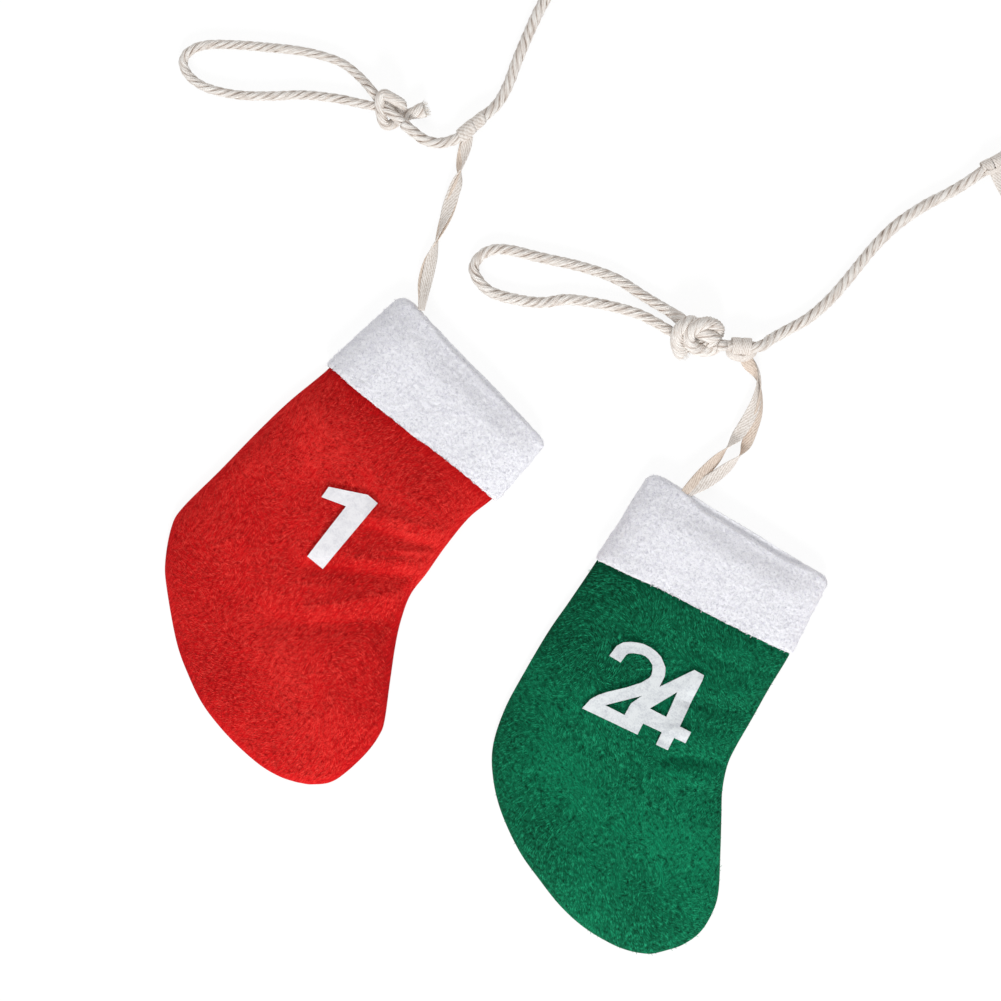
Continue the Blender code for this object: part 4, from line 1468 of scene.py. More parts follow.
LAST_BACK_ROUTE = (
    ((742, 354), 1.5, 4.2, 0.0), ((749, 364), 1.8, 4.8, 8.0), ((757, 377), 2.3, 4.2, 62.0),
    ((760, 392), 2.4, 4.6, 104.0), ((758, 412), 2.3, 4.5, 138.0), ((751.5, 430), 2.2, 4.5, 172.0),
    ((746, 444), 2.2, 4.5, 206.0), ((740, 455), 2.4, 4.5, 268.0), ((726, 468), 3.0, 4.9, 326.0),
    ((706, 482), 5.0, 5.0, 350.0), ((690, 491), 7.2, 3.8, 358.0), ((682, 497), 7.8, 2.8, 360.0),
)
LAST_BIGHT_ROUTE = (
    ((729, 347), 4.4, 3.0, 38.0), ((728, 353), 4.2, 3.0, 42.0), ((732, 357), 4.2, 3.4, 46.0),
    ((741, 359.3), 4.4, 3.5, 46.0), ((748, 357.5), 4.4, 3.4, 46.0), ((753, 353), 4.4, 3.0, 42.0),
    ((753, 347), 4.6, 3.0, 38.0),
)


@dataclass(frozen=True)
class HeadForm:
    """How a lark's head lies: its wraps' places, width, slant and radius, and how far they cross."""

    offset: float = 2.3 * MM
    width: float = 4.4 * MM
    slant: float = -0.7 * MM
    radius: float = 2.6 * MM
    over: float = 0.0


# The face that lies up at the start, and the one under it, for the front and the back length
PLAIN_STRAP_FACES = ((OUTER_FACE, INNER_FACE), (OUTER_FACE, INNER_FACE))
STRAP_FACES: dict[int, tuple[tuple[float, float], tuple[float, float]]] = {
    1: ((OUTER_FACE, OUTER_FACE), (INNER_FACE, INNER_FACE)),
    24: ((INNER_FACE, OUTER_FACE), (OUTER_FACE, INNER_FACE)),
}
HEAD_FORMS: dict[int, HeadForm] = {
    1: HeadForm(2.7 * MM, 7.6 * MM, 2.6 * MM, 2.5 * MM, 0.16 * MM),
    24: HeadForm(1.95 * MM, 3.9 * MM, 0.5 * MM, 3.15 * MM),
}
# The photographed hangers' two lengths, front and back
STRAP_ROUTES = {1: (FIRST_FRONT_ROUTE, FIRST_BACK_ROUTE), 24: (LAST_FRONT_ROUTE, LAST_BACK_ROUTE)}


@dataclass
class Hanger:
    """One stocking's tape: its lark's head round the rope, and the two lengths that run to the mouth."""

    number: int
    layout: Layout
    place: Place
    tie: Vector
    angle: float
    palette: Palette
    detail: Detail
    sizes: TapeSizes = field(default_factory=TapeSizes)

    def _photographed(self, table: Sequence[tuple[Point, float, float, float]]) -> Array:
        """Turn a photographed table into a route.

        Args:
            table: rows of pixel, height in mm, width in mm and twist in degrees.

        Returns:
            Rows of x, y, z, width and twist in degrees.
        """
        return np.array([
            (*self.layout.at(pixel, height * MM), width * MM, twist) for pixel, height, width, twist in table
        ])

    def _plain(self, layer: int) -> Array:
        """Return a plain hanger's route.

        Args:
            layer: 0 for the length that lies below, 1 for the one on it.

        Returns:
            Rows of x, y, z, width and twist in degrees.
        """
        sizes = self.sizes
        lifted = layer * sizes.layer_gap
        mouth = self.place.world(sizes.inset, sizes.mouth[0], sizes.mouth[1] + lifted)
        inside = self.place.world(sizes.inset, sizes.sewn[0], sizes.sewn[1] + lifted)
        flat = Vector((mouth.x - self.tie.x, mouth.y - self.tie.y, 0.0))
        outward = flat.normalized()
        side = Vector((-outward.y, outward.x, 0.0))
        lying = sizes.lying + layer * sizes.lying_gap
        arched = lying + sizes.arch
        slant = abs(outward.y * math.cos(self.angle) - outward.x * math.sin(self.angle))
        clear = sizes.rope_clear / max(slant, 0.5)
        sway = sizes.sway * (1.0 if self.number % 2 else -1.0)
        swing = sizes.swing * math.sin(self.number * 2.4 + layer)
        base = Vector((self.tie.x, self.tie.y, 0.0))
        twist = 180.0 if outward.y > 0 and abs(outward.x) < outward.y else 0.0
        rows = [
            (base + outward * clear + UP * (self.tie.z - sizes.under_tie + lifted), 4.6, twist),
            (base + outward * sizes.lead + UP * (lying + 0.8 * MM), 4.8, twist + swing),
            (base + outward * flat.length * 0.35 + side * sway + UP * arched, 4.7, twist - 1.6 * swing),
            (base + outward * flat.length * 0.65 - side * sway + UP * arched, 4.8, twist + 1.4 * swing),
            (base + outward * (flat.length - sizes.lead) + UP * (lying + 1.4 * MM), 4.8, twist),
            (mouth, 4.7, twist),
            (inside, 4.6, twist),
        ]
        return np.array([(*point, width * MM, turn) for point, width, turn in rows])

    def _bight(self, step: float) -> Mesh:
        """Bow the tape's bight across the two wraps, on the stocking's side.

        Args:
            step: length of a face along the tape.

        Returns:
            The bight.
        """
        sizes = self.sizes
        if self.number == LAST_NUMBER:
            route = self._photographed(LAST_BIGHT_ROUTE)
            return ribbon_mesh("bight_24", route, sizes.thick * 1.6, 8, step)
        along = Vector((math.cos(self.angle), math.sin(self.angle), 0.0))
        down = (self.place.world(0.04, 0.0) - self.tie).to_2d().to_3d()
        out = Vector((math.sin(self.angle), -math.cos(self.angle), 0.0))
        out = out if out.dot(down) > 0 else -out
        if self.number == FIRST_NUMBER:
            under = out * 0.8 * MM - UP * 2.7 * MM
            ends = [self.tie + along * (end * 5.0 * MM) + under for end in (-1.0, 0.0, 1.0)]
            hidden = np.array([(*end, 3.0 * MM, 0.0) for end in ends])
            return ribbon_mesh("bight_01", hidden, sizes.thick, 6, step)
        rows = []
        right = Vector((along.y, -along.x, 0.0))
        lean = sizes.bight_lean if out.dot(right) > 0 else -sizes.bight_lean
        for share in np.linspace(-1.0, 1.0, 9):
            ease = 1.0 - share * share
            point = (
                self.tie
                + along * (share * (sizes.wrap_offset + 2.4 * MM))
                + out * (sizes.wrap_radius * 0.72 + sizes.bight_bow * ease)
                + UP * (1.9 * MM - 1.4 * MM * ease)
            )
            rows.append((*point, sizes.bight_width, lean))
        return ribbon_mesh(f"bight_{self.number:02d}", np.array(rows), sizes.thick, 6, step)

    def build(self, body: str) -> Piece:
        """Build the tape and ride it on its stocking's body.

        Args:
            body: the stocking's body.

        Returns:
            The tape.
        """
        near = self.detail is Detail.NEAR
        step = 0.45 * MM if near else 1.4 * MM
        across = 10 if near else 4
        sizes = self.sizes
        if self.number in STRAP_ROUTES:
            routes = [self._photographed(table) for table in STRAP_ROUTES[self.number]]
        else:
            routes = [self._plain(0), self._plain(1)]
        sides = STRAP_FACES.get(self.number, PLAIN_STRAP_FACES)
        meshes = [
            ribbon_mesh(f"strap_{k}", route, sizes.thick, across, step, side)
            for k, (route, side) in enumerate(zip(routes, sides))
        ]
        form = HEAD_FORMS.get(self.number, HeadForm())
        turned_round = self.place.turn > math.pi / 2
        start, sweep = (WRAP_START, WRAP_SWEEP) if turned_round else (180.0 - WRAP_START, -WRAP_SWEEP)
        for side in (-1.0, 1.0):
            radius = form.radius - side * form.over
            slant = form.slant if self.number == FIRST_NUMBER else side * form.slant
            meshes.append(
                wrap_mesh(
                    f"wrap_{side}", self.tie, self.angle, radius, side * form.offset, start, sweep,
                    form.width, slant, sizes.thick, step,
                )
            )
        meshes.append(self._bight(step))
        piece = put(f"twill_tape_{self.number:02d}", merged("tape", meshes), [self.palette["cotton_tape"]])
        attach(piece, body)
        return piece


# Stockings

BagCurve = tuple[Point, ...]

# Edges of the bag from the mouth to the toe's tip in mm, in the stocking's own frame
BACK_EDGES: dict[Felt, BagCurve] = {
    Felt.RED: (
        (4.6, 33.0), (3.4, 20.0), (1.8, 1.0), (-2.0, -20.0), (-4.0, -38.8), (-5.4, -58.3),
        (-7.3, -79.7), (-5.7, -88.4), (0.9, -100.0), (7.9, -107.7), (25.1, -122.0), (37.5, -129.3),
        (49.0, -134.4), (60.7, -137.1), (71.7, -138.3), (82.7, -138.4), (91.0, -137.0), (96.9, -134.8),
        (100.5, -132.9),
    ),
    Felt.GREEN: (
        (3.4, 30.0), (2.6, 20.0), (0.8, 2.1), (-2.3, -17.8), (-4.8, -32.3), (-6.6, -50.3),
        (-7.6, -68.0), (-5.7, -83.4), (-0.3, -95.0), (8.4, -106.0), (21.5, -117.1), (34.2, -124.4),
        (45.7, -130.1), (57.5, -133.8), (69.7, -135.2), (78.3, -134.7), (85.7, -132.6), (89.0, -130.4),
    ),
}
FRONT_EDGES: dict[Felt, BagCurve] = {
    Felt.RED: (
        (85.4, 26.0), (85.6, 16.0), (85.2, 3.1), (82.9, -9.2), (83.1, -24.3), (84.2, -36.9),
        (84.7, -47.4), (87.9, -56.8), (92.7, -66.3), (100.8, -79.5), (108.9, -92.4), (111.2, -98.3),
        (111.9, -107.2), (110.6, -118.7), (108.2, -125.9), (103.2, -131.1), (100.5, -132.9),
    ),
    Felt.GREEN: (
        (85.4, 23.0), (85.9, 15.0), (86.2, -0.4), (84.6, -15.7), (83.5, -30.4), (82.4, -43.2),
        (82.5, -51.1), (84.9, -61.0), (89.3, -71.3), (94.7, -83.8), (100.6, -98.3), (101.9, -106.9),
        (100.8, -115.9), (96.5, -123.6), (91.0, -128.8), (89.0, -130.4),
    ),
}
# Height of the cuff's lower edge at the back and at the front
LOWER_EDGES: dict[Felt, Point] = {Felt.RED: (0.6 * MM, 2.9 * MM), Felt.GREEN: (1.7 * MM, -0.4 * MM)}
# The loose fibres of each felt: how many a square metre, and how long
FELT_FIBRES = {Felt.RED: (2.0e6, 1.7 * MM), Felt.GREEN: (1.6e6, 2.3 * MM)}
# The felt's nap: its direction from the stocking's own X
COMBS = {Felt.RED: math.radians(90.0), Felt.GREEN: math.radians(-28.0)}

# Soft creases of the felt: start and end in the stocking's own mm, width and height in mm
CREASES: dict[Felt, tuple[tuple[Point, Point, float, float], ...]] = {
    Felt.RED: (
        ((46.0, -65.0), (84.0, -39.0), 3.6, -1.9), ((58.0, -77.0), (86.0, -46.0), 3.6, 1.9),
        ((58.0, -50.0), (83.0, -35.0), 2.6, 1.3), ((50.0, -89.0), (90.0, -56.0), 7.0, -2.0),
        ((54.0, -31.0), (82.0, -19.0), 3.2, 1.3), ((56.0, -37.0), (83.0, -26.0), 2.4, -1.1),
        ((62.0, -43.0), (78.0, -31.0), 1.6, 0.6), ((-1.0, -37.0), (18.0, -46.0), 2.2, 0.7),
        ((40.0, -98.0), (84.0, -114.0), 9.0, 0.8), ((10.0, -62.0), (34.0, -92.0), 9.0, -0.6),
        ((10.0, -10.0), (36.0, -30.0), 5.0, 0.8), ((2.0, -24.0), (26.0, -36.0), 5.0, -0.6),
    ),
    Felt.GREEN: (
        ((62.0, -56.0), (84.0, -49.0), 3.0, -1.8), ((60.0, -63.0), (83.0, -57.0), 3.8, 1.7),
        ((56.0, -47.0), (86.0, -41.0), 3.2, 1.2), ((56.0, -34.0), (86.0, -28.0), 3.0, -1.4),
        ((60.0, -25.0), (88.0, -20.0), 3.6, 1.2), ((58.0, -14.0), (86.0, -9.0), 3.0, -0.9),
        ((30.0, -84.0), (72.0, -92.0), 9.0, 0.7), ((4.0, -22.0), (20.0, -40.0), 6.0, 1.1),
        ((2.0, -44.0), (16.0, -62.0), 6.0, -0.8), ((36.0, -12.0), (70.0, -14.0), 4.0, -0.8),
        ((26.0, -62.0), (60.0, -76.0), 9.0, -0.9),
    ),
}


@dataclass(frozen=True)
class StockingSizes:
    """The stocking's sizes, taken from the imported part."""

    height: float = 10.0 * MM
    dome: float = 24.0 * MM
    felt: float = 1.4 * MM
    seam_height: float = 1.7 * MM
    cuff_dip: float = 0.22
    dip_reach: float = 20.0 * MM
    corner: float = 3.3 * MM
    lip_press: float = 0.46
    lip_lift: float = 3.6 * MM
    lip_flat: float = 0.6
    cuff_back: float = 42.0 * MM
    cuff_front: float = 33.8 * MM
    fleece: float = 1.7 * MM
    mouth_base: float = 2.3 * MM
    mouth_height: float = 8.0 * MM
    cuff_back_mm: Point = (-0.8, 5.8)
    cuff_front_mm: Point = (87.2, 0.8)
    cuff_inset: float = 2.2 * MM
    cuff_dome: float = 20.0 * MM
    cuff_step: float = 1.2 * MM
    lip_drop: float = 1.0 * MM
    last_lip_drop: float = 2.4 * MM
    floor_gap: float = 0.15 * MM
    crease_edge: float = 7.0 * MM
    crease_below: float = 14.0 * MM
    pocket_share: float = 0.8
    pocket_width: Point = (0.05, 0.9)
    map_shift: float = 0.37
    number_thick: float = 1.4 * MM
    number_height: float = 34.0 * MM
    number_glue: float = 0.25 * MM
    number_cuts: Triple = (-2.0 * MM, 60.0 * MM, 2.5 * MM)
    font_scale: float = 1.38
    font_space: float = 0.92
    font_weight: float = 0.9 * MM
    over_all: float = 0.05


@dataclass
class Stocking:
    """One stocking: its felt bag, fleece cuff and number, and the body that its tape rides on."""

    number: int
    felt: Felt
    place: Place
    detail: Detail
    layout: Layout
    palette: Palette
    fibres: dict[str, Scatter]
    sizes: StockingSizes = field(default_factory=StockingSizes)

    @property
    def tag(self) -> str:
        """Return the number as the pieces' names hold it."""
        return f"{self.number:02d}"

    @property
    def body(self) -> str:
        """Return the name of the body that carries the stocking."""
        return f"hung_stocking_{self.tag}"

    def _outline(self, rows: int) -> tuple[Array, Array]:
        """Return the bag's outline.

        Args:
            rows: rows wanted from the mouth to the toe.

        Returns:
            The back and the front edge, with matching rows, in metres.
        """
        back = catmull(np.array(BACK_EDGES[self.felt]) * MM, 16)
        front = catmull(np.array(FRONT_EDGES[self.felt]) * MM, 16)
        shares = np.linspace(0.0, 1.0, rows)
        shares = 1.0 - (1.0 - shares) ** 1.15
        pair = []
        for edge in (back, front):
            flat = np.column_stack((edge, np.zeros(len(edge))))
            pair.append(resample(flat, shares * marks(flat)[-1])[:, :2])
        return pair[0], pair[1]

    def _creases(self, x: Array, y: Array) -> Array:
        """Return how far the felt's creases and waves lift it.

        Args:
            x: places along the stocking's own X.
            y: places along its own Y.

        Returns:
            The lift at each place, in metres.
        """
        lift = np.zeros_like(x)
        places = np.column_stack((x, y))
        for start, end, width, height in CREASES[self.felt]:
            line = np.array((start, end)) * MM
            away = line_distance(places, line)
            lift += height * MM * np.exp(-((away / (width * MM)) ** 2))
        seed = self.number * 3.7
        waves = [
            0.5 * noise.noise(Vector((a * 42.0 + seed, b * 42.0, seed)))
            + 0.22 * noise.noise(Vector((a * 120.0, b * 120.0 + seed, seed)))
            for a, b in places
        ]
        return lift + np.array(waves) * 1.1 * MM

    def bag(self) -> Piece:
        """Loft the felt bag with its rounded edge, its creases and the pocket inside it."""
        sizes = self.sizes
        near = self.detail is Detail.NEAR
        rows, half = (180, 76) if near else (44, 16)
        back, front = self._outline(rows)
        edge_line = np.vstack((back, front[::-1]))
        shares = 0.5 - 0.5 * np.cos(np.linspace(0.0, math.pi, half + 1))
        flat = back[:, None] + (front - back)[:, None] * shares[None, :, None]
        flat_rows = flat.reshape(-1, 2)
        away = line_distance(flat_rows, edge_line).reshape(rows, half + 1)
        rise = np.sqrt(np.maximum(1.0 - (1.0 - np.clip(away / sizes.dome, 0.0, 1.0)) ** 2, 0.0))
        crease = self._creases(flat_rows[:, 0], flat_rows[:, 1]).reshape(rows, half + 1)
        mask = smoothstep(away / sizes.crease_edge)
        under_cuff = smoothstep(-flat[..., 1] / sizes.crease_below)
        dip = 1.0 - sizes.cuff_dip * (1.0 - smoothstep(-flat[..., 1] / sizes.dip_reach))
        dip = dip * (1.0 - 0.4 * smoothstep((flat[..., 1] - 14.0 * MM) / (16.0 * MM)))
        top = sizes.seam_height + (sizes.height - sizes.seam_height) * rise * dip + crease * mask * under_cuff
        low = sizes.seam_height * (1.0 - smoothstep(away / (3.0 * MM))) + sizes.floor_gap
        at_mouth = smoothstep((flat[..., 1] + 2.0 * MM) / (6.0 * MM))
        low = low + at_mouth * (sizes.mouth_base - sizes.floor_gap)
        top = np.maximum(top, low + 0.02 * MM)
        outer = self._ring(flat, top, low)
        kept = int(rows * sizes.pocket_share)
        inset, width = sizes.pocket_width
        pulled = back[:kept, None] + (front - back)[:kept, None] * (inset + width * shares)[None, :, None]
        in_top = top[:kept] - sizes.felt
        in_low = low[:kept] + sizes.felt
        in_top = np.maximum(in_top, in_low + 0.1 * MM)
        inner = self._ring(pulled, in_top, in_low)
        grid = np.vstack((inner[::-1], outer))
        maps = grid[..., :2] + np.array((self.number * sizes.map_shift, 0.0))
        mesh = mesh_from_grid(f"bag_{self.tag}", grid, False, True, maps)
        shown = np.ones(grid.shape[:2], np.float32)
        shown[: len(inner)] = 0.0
        bare = 1.0 - smoothstep((away - 1.0 * MM) / (2.0 * MM))
        shown[len(inner) :] -= np.concatenate((bare, bare[:, ::-1][:, 1:-1]), axis=1)
        shown[grid[..., 1] > -0.5 * MM] = 0.0
        nap = mesh.attributes.new("nap", "FLOAT", "POINT")
        nap.data.foreach_set("value", shown.ravel())
        mesh.transform(self.place.matrix())
        piece = put(f"felt_bag_{self.tag}", mesh, [self.palette[f"felt_{self.felt.value}"]])
        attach(piece, self.body)
        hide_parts(f"stocking_{self.tag}")
        return piece

    @staticmethod
    def _ring(flat: Array, top: Array, low: Array) -> Array:
        """Join a top and a bottom surface.

        Args:
            flat: places in the plane, in rows.
            top: the upper height at each place.
            low: the lower height at each place.

        Returns:
            Rows of closed rings.
        """
        upper = np.concatenate((flat, top[..., None]), axis=-1)
        lower = np.concatenate((flat, low[..., None]), axis=-1)[:, ::-1]
        return np.concatenate((upper, lower[:, 1:-1]), axis=1)

    def cuff(self) -> Piece:
        """Fold the fleece cuff over the bag's mouth."""
        sizes = self.sizes
        near = self.detail is Detail.NEAR
        half = 150 if near else 26
        shares = 0.5 - 0.5 * np.cos(np.linspace(0.0, math.pi, half + 1))
        shares = 0.72 * np.linspace(0.0, 1.0, half + 1) + 0.28 * shares
        wall = sizes.fleece
        profile: list[Triple] = []
        fine = 74 if near else 8

        def run(start: float, end: float, offset: float, count: int) -> None:
            """Add a straight run to the profile."""
            for share in np.linspace(0.0, 1.0, count, endpoint=False):
                profile.append((start + (end - start) * share, 0.0, offset))

        out = wall + 0.35 * MM
        run(0.0, 0.965, out, fine)
        for turn in np.linspace(90.0, -90.0, 13 if near else 5):
            angle = math.radians(turn)
            radius = out + 0.6 * MM
            past = radius * sizes.lip_flat * math.cos(angle)
            profile.append((0.965, past, -0.6 * MM + radius * math.sin(angle)))
        inner = -1.2 * MM - out
        run(0.93, 0.62, inner, max(fine // 5, 3))
        profile.append((0.62, 0.0, inner + 0.8 * MM))
        profile.append((0.9, 0.0, inner + 0.9 * MM))
        profile.append((0.9, 0.0, 0.3 * MM))
        run(0.88, 0.02, 0.25 * MM, 4)
        rows = []
        for share, past, offset in profile:
            rows.append(self._cuff_ring(share, past, offset, shares))
        grid = np.array(rows)
        mesh = mesh_from_grid(f"cuff_{self.tag}", grid, True, False)
        shown = np.zeros(grid.shape[:2], np.float32)
        shown[: fine + 4] = 1.0
        nap = mesh.attributes.new("nap", "FLOAT", "POINT")
        nap.data.foreach_set("value", shown.ravel())
        seed = Vector((self.number * 1.3, 0.0, 0.0))
        size = 1.0 if near else 0.5

        def curls(point: Vector) -> float:
            """Return the fleece's height at a point."""
            slow = noise.noise(point * 45.0 + seed) * 0.4 * MM
            waves = noise.noise(point * 160.0 + seed) * 0.2 * MM
            tufts = noise.noise(point * 700.0 + seed) * 0.2 * MM + noise.noise(point * 1300.0) * 0.16 * MM
            held = min(max((point.z - 0.3 * MM) / (1.5 * MM), 0.0), 1.0)
            return (slow + (waves + tufts) * size) * held

        shift_along_normals(mesh, curls)
        mesh.transform(self.place.matrix())
        piece = put(f"fleece_cuff_{self.tag}", mesh, [self.palette["fleece_white"]])
        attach(piece, self.body)
        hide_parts(f"cuff_{self.tag}")
        return piece

    def _cuff_ring(self, share: float, past: float, offset: float, shares: Array) -> Array:
        """Return one closed ring of the cuff round the mouth.

        Args:
            share: how far up the cuff, from its lower edge to its lip.
            past: length past that share, towards the mouth.
            offset: distance outwards from the middle of the bag's wall.
            shares: places from the back edge to the front edge.

        Returns:
            The ring's points in the stocking's own frame.
        """
        sizes = self.sizes
        past_share = share + past / sizes.cuff_back
        corner_share = sizes.corner / sizes.cuff_front
        turned = min(max((past_share - (1.0 - corner_share)) / corner_share, 0.0), 1.0)
        rounding = sizes.corner * (1.0 - math.sqrt(1.0 - turned * turned))
        low_turn = min(max(1.0 - share * sizes.cuff_front / (1.6 * MM), 0.0), 1.0)
        low_rounding = sizes.cuff_step * low_turn**2
        back_mm, back_slope = sizes.cuff_back_mm
        front_mm, front_slope = sizes.cuff_front_mm
        back_x = (back_mm + back_slope * share) * MM + sizes.cuff_inset + rounding * 1.2 + low_rounding
        front_x = (front_mm + front_slope * share) * MM - sizes.cuff_inset - rounding - low_rounding
        width = front_x - back_x
        x = back_x + width * shares
        side = np.minimum(shares, 1.0 - shares) * width
        dome = np.sqrt(np.maximum(1.0 - (1.0 - np.clip(side / sizes.cuff_dome, 0.0, 1.0)) ** 2, 0.0))
        middle = sizes.mouth_base + sizes.cuff_step
        closing = float(smoothstep((past_share - 0.72) / 0.28))
        press = 1.0 - sizes.lip_press * float(smoothstep((past_share - 0.62) / 0.38))
        top = middle + (sizes.mouth_height - sizes.cuff_step) * dome * press
        low = middle - sizes.cuff_step * smoothstep(side / (3.0 * MM)) + sizes.lip_lift * closing * dome
        loop_x = np.concatenate((x, x[::-1][1:-1]))
        loop_z = np.concatenate((top, low[::-1][1:-1]))
        upper = np.concatenate((np.ones(len(x)), np.zeros(len(x) - 2)))
        before = np.roll(np.column_stack((loop_x, loop_z)), 1, axis=0)
        after = np.roll(np.column_stack((loop_x, loop_z)), -1, axis=0)
        tangent = after - before
        tangent /= np.linalg.norm(tangent, axis=1)[:, None] + 1e-12
        normal = np.column_stack((-tangent[:, 1], tangent[:, 0]))
        across = (loop_x - back_x) / width
        height = sizes.cuff_back + (sizes.cuff_front - sizes.cuff_back) * across
        drop = self._lip_drop(across) * upper
        at_back, at_front = LOWER_EDGES[self.felt]
        base_y = at_back + (at_front - at_back) * across
        y = base_y + share * (height - drop - base_y) + past
        wave = np.sin(across * 9.0 + self.number) * 0.25 * MM * (1.0 - share)
        pulled = offset
        if offset < 0:
            pulled = np.clip(offset, -0.45 * (loop_z - low.min() + 1.0 * MM), None)
        return np.column_stack((loop_x + normal[:, 0] * pulled, y + wave, loop_z + normal[:, 1] * pulled))

    def _lip_drop(self, across: Array) -> Array:
        """Return how much lower the front panel's lip lies than the back panel's.

        Args:
            across: places from the back edge to the front edge, from 0 to 1.

        Returns:
            The drop at each place, in metres.
        """
        depth = self.sizes.last_lip_drop if self.number == LAST_NUMBER else self.sizes.lip_drop
        return depth * smoothstep((across - 0.12) / 0.16) * (1.0 - smoothstep((across - 0.74) / 0.26))

    def numeral(self, bag: Piece) -> Piece:
        """Cut the number from felt and lay it on the bag.

        Args:
            bag: the felt bag that the number is glued to.

        Returns:
            The number.
        """
        sizes = self.sizes
        spot = NUMBER_SPOTS.get(self.number, PLAIN_SPOT)
        if self.number in PHOTOGRAPHED:
            outlines = NUMBER_SHARES[self.number]
            curve = bpy.data.curves.new("number", "CURVE")
            curve.dimensions = "2D"
            curve.fill_mode = "BOTH"
            for outline in outlines:
                spline = curve.splines.new("POLY")
                spline.points.add(len(outline) - 1)
                for point, (x, y) in zip(spline.points, outline):
                    point.co = (x * sizes.number_height, y * sizes.number_height, 0.0, 1.0)
                spline.use_cyclic_u = True
        else:
            curve = bpy.data.curves.new("number", "FONT")
            curve.body = str(self.number)
            curve.size = sizes.number_height * sizes.font_scale
            curve.space_character = sizes.font_space
            curve.align_x = "CENTER"
            curve.offset = sizes.font_weight
        curve.extrude = sizes.number_thick / 2
        helper = bpy.data.objects.new("number_helper", curve)
        bpy.context.scene.collection.objects.link(helper)
        graph = bpy.context.evaluated_depsgraph_get()
        graph.update()
        mesh = bpy.data.meshes.new_from_object(helper.evaluated_get(graph), depsgraph=graph)
        bpy.data.objects.remove(helper, do_unlink=True)
        form = bmesh.new()
        form.from_mesh(mesh)
        bmesh.ops.remove_doubles(form, verts=form.verts, dist=0.01 * MM)
        bmesh.ops.recalc_face_normals(form, faces=form.faces)
        if self.detail is Detail.NEAR:
            for axis in range(2):
                for place in np.arange(*sizes.number_cuts):
                    point = Vector((0.0, 0.0, 0.0))
                    point[axis] = place
                    facing = Vector((0.0, 0.0, 0.0))
                    facing[axis] = 1.0
                    bmesh.ops.bisect_plane(
                        form, geom=[*form.verts, *form.edges, *form.faces], plane_co=point, plane_no=facing
                    )
        for face in form.faces:
            face.material_index = 1 if abs(face.normal.z) < 0.5 else 0
            face.smooth = False
        form.to_mesh(mesh)
        form.free()
        mesh.transform(self.place.matrix() @ Matrix.Translation((*spot, 0.0)))
        tree = BVHTree.FromPolygons(
            [vertex.co.copy() for vertex in bag.data.vertices],
            [tuple(face.vertices) for face in bag.data.polygons],
        )
        for vertex in mesh.vertices:
            hit = tree.ray_cast(Vector((vertex.co.x, vertex.co.y, sizes.over_all)), -UP)[0]
            ground = hit.z if hit else sizes.height
            vertex.co.z = ground + sizes.number_glue + sizes.number_thick / 2 + vertex.co.z
        mesh.materials.clear()
        # the 24 is cut from the greyer white felt
        felt = "felt_white_grey" if self.number == LAST_NUMBER else "felt_white"
        piece = put(f"felt_number_{self.tag}", mesh, [self.palette[felt], self.palette["felt_white_edge"]])
        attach(piece, self.body)
        if self.number in PHOTOGRAPHED:
            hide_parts(f"number_{self.tag}")
        return piece

    def fuzz(self, bag: Piece, cuff: Piece) -> None:
        """Lay loose fibres over the felt and the fleece.

        Args:
            bag: the felt bag.
            cuff: the fleece cuff.
        """
        density, length = FELT_FIBRES[self.felt]
        felt_values = {
            "Density": density, "Length": length, "Width": 0.12 * MM, "Lift": 0.08,
            "Comb": self.place.turn + COMBS[self.felt], "Spread": 0.36, "Facing": 0.35, "Seed": self.number,
        }
        fleece_values = {
            "Density": 2.4e6, "Length": 0.8 * MM, "Width": 0.16 * MM, "Lift": 0.45, "Comb": 0.4,
            "Spread": 3.14, "Facing": 0.1, "Seed": self.number + 7,
        }
        for piece_name, on, kind, values, slot in (
            (f"felt_fibres_{self.tag}", bag, self.felt.value, felt_values, f"felt_{self.felt.value}"),
            (f"fleece_fibres_{self.tag}", cuff, "white", fleece_values, "fleece_white"),
        ):
            piece = self.fibres[kind].grow(piece_name, on, values)
            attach(piece, self.body)
            LOG.info("%s: %d faces", piece_name, len(piece.data.polygons))

    def build(self) -> None:
        """Build the stocking's own pieces."""
        bag = self.bag()
        cuff = self.cuff()
        self.numeral(bag)
        if self.detail is Detail.NEAR:
            self.fuzz(bag, cuff)
        counts = len(bag.data.polygons), len(cuff.data.polygons)
        LOG.info("stocking %s: bag %d faces, cuff %d faces", self.tag, *counts)


# Outlines of the two photographed numbers, as shares of their height
ONE_SHARES = (
    (0.013, 0.635), (0.0, 0.779), (0.407, 1.0), (0.559, 1.0), (0.559, 0.0), (0.328, 0.0), (0.3, 0.736),
)
LAST_OUTLINE_SHARES = (
    (0.026, 0.708), (0.057, 0.851), (0.11, 0.917), (0.189, 0.961), (0.26, 0.985), (0.328, 1.0),
    (0.42, 0.998), (0.507, 0.981), (0.58, 0.948), (0.637, 0.898), (0.675, 0.86), (0.693, 0.82),
    (0.71, 0.77), (0.711, 0.724), (0.707, 0.623), (0.993, 0.976), (1.117, 0.968), (1.125, 0.916),
    (1.115, 0.31), (1.26, 0.305), (1.258, 0.161), (1.111, 0.161), (1.107, 0.0), (0.956, 0.0),
    (0.956, 0.159), (0.715, 0.159), (0.711, 0.015), (0.0, 0.02), (0.041, 0.156), (0.1, 0.238),
    (0.178, 0.312), (0.369, 0.462), (0.497, 0.581), (0.559, 0.672), (0.565, 0.715), (0.556, 0.756),
    (0.528, 0.822), (0.461, 0.865), (0.41, 0.88), (0.358, 0.879), (0.265, 0.853), (0.215, 0.825),
    (0.199, 0.799), (0.177, 0.693),
)
LAST_HOLE_SHARES = (
    ((0.226, 0.167), (0.571, 0.449), (0.491, 0.313), (0.479, 0.158)),
    ((0.712, 0.351), (0.923, 0.662), (0.928, 0.343)),
)
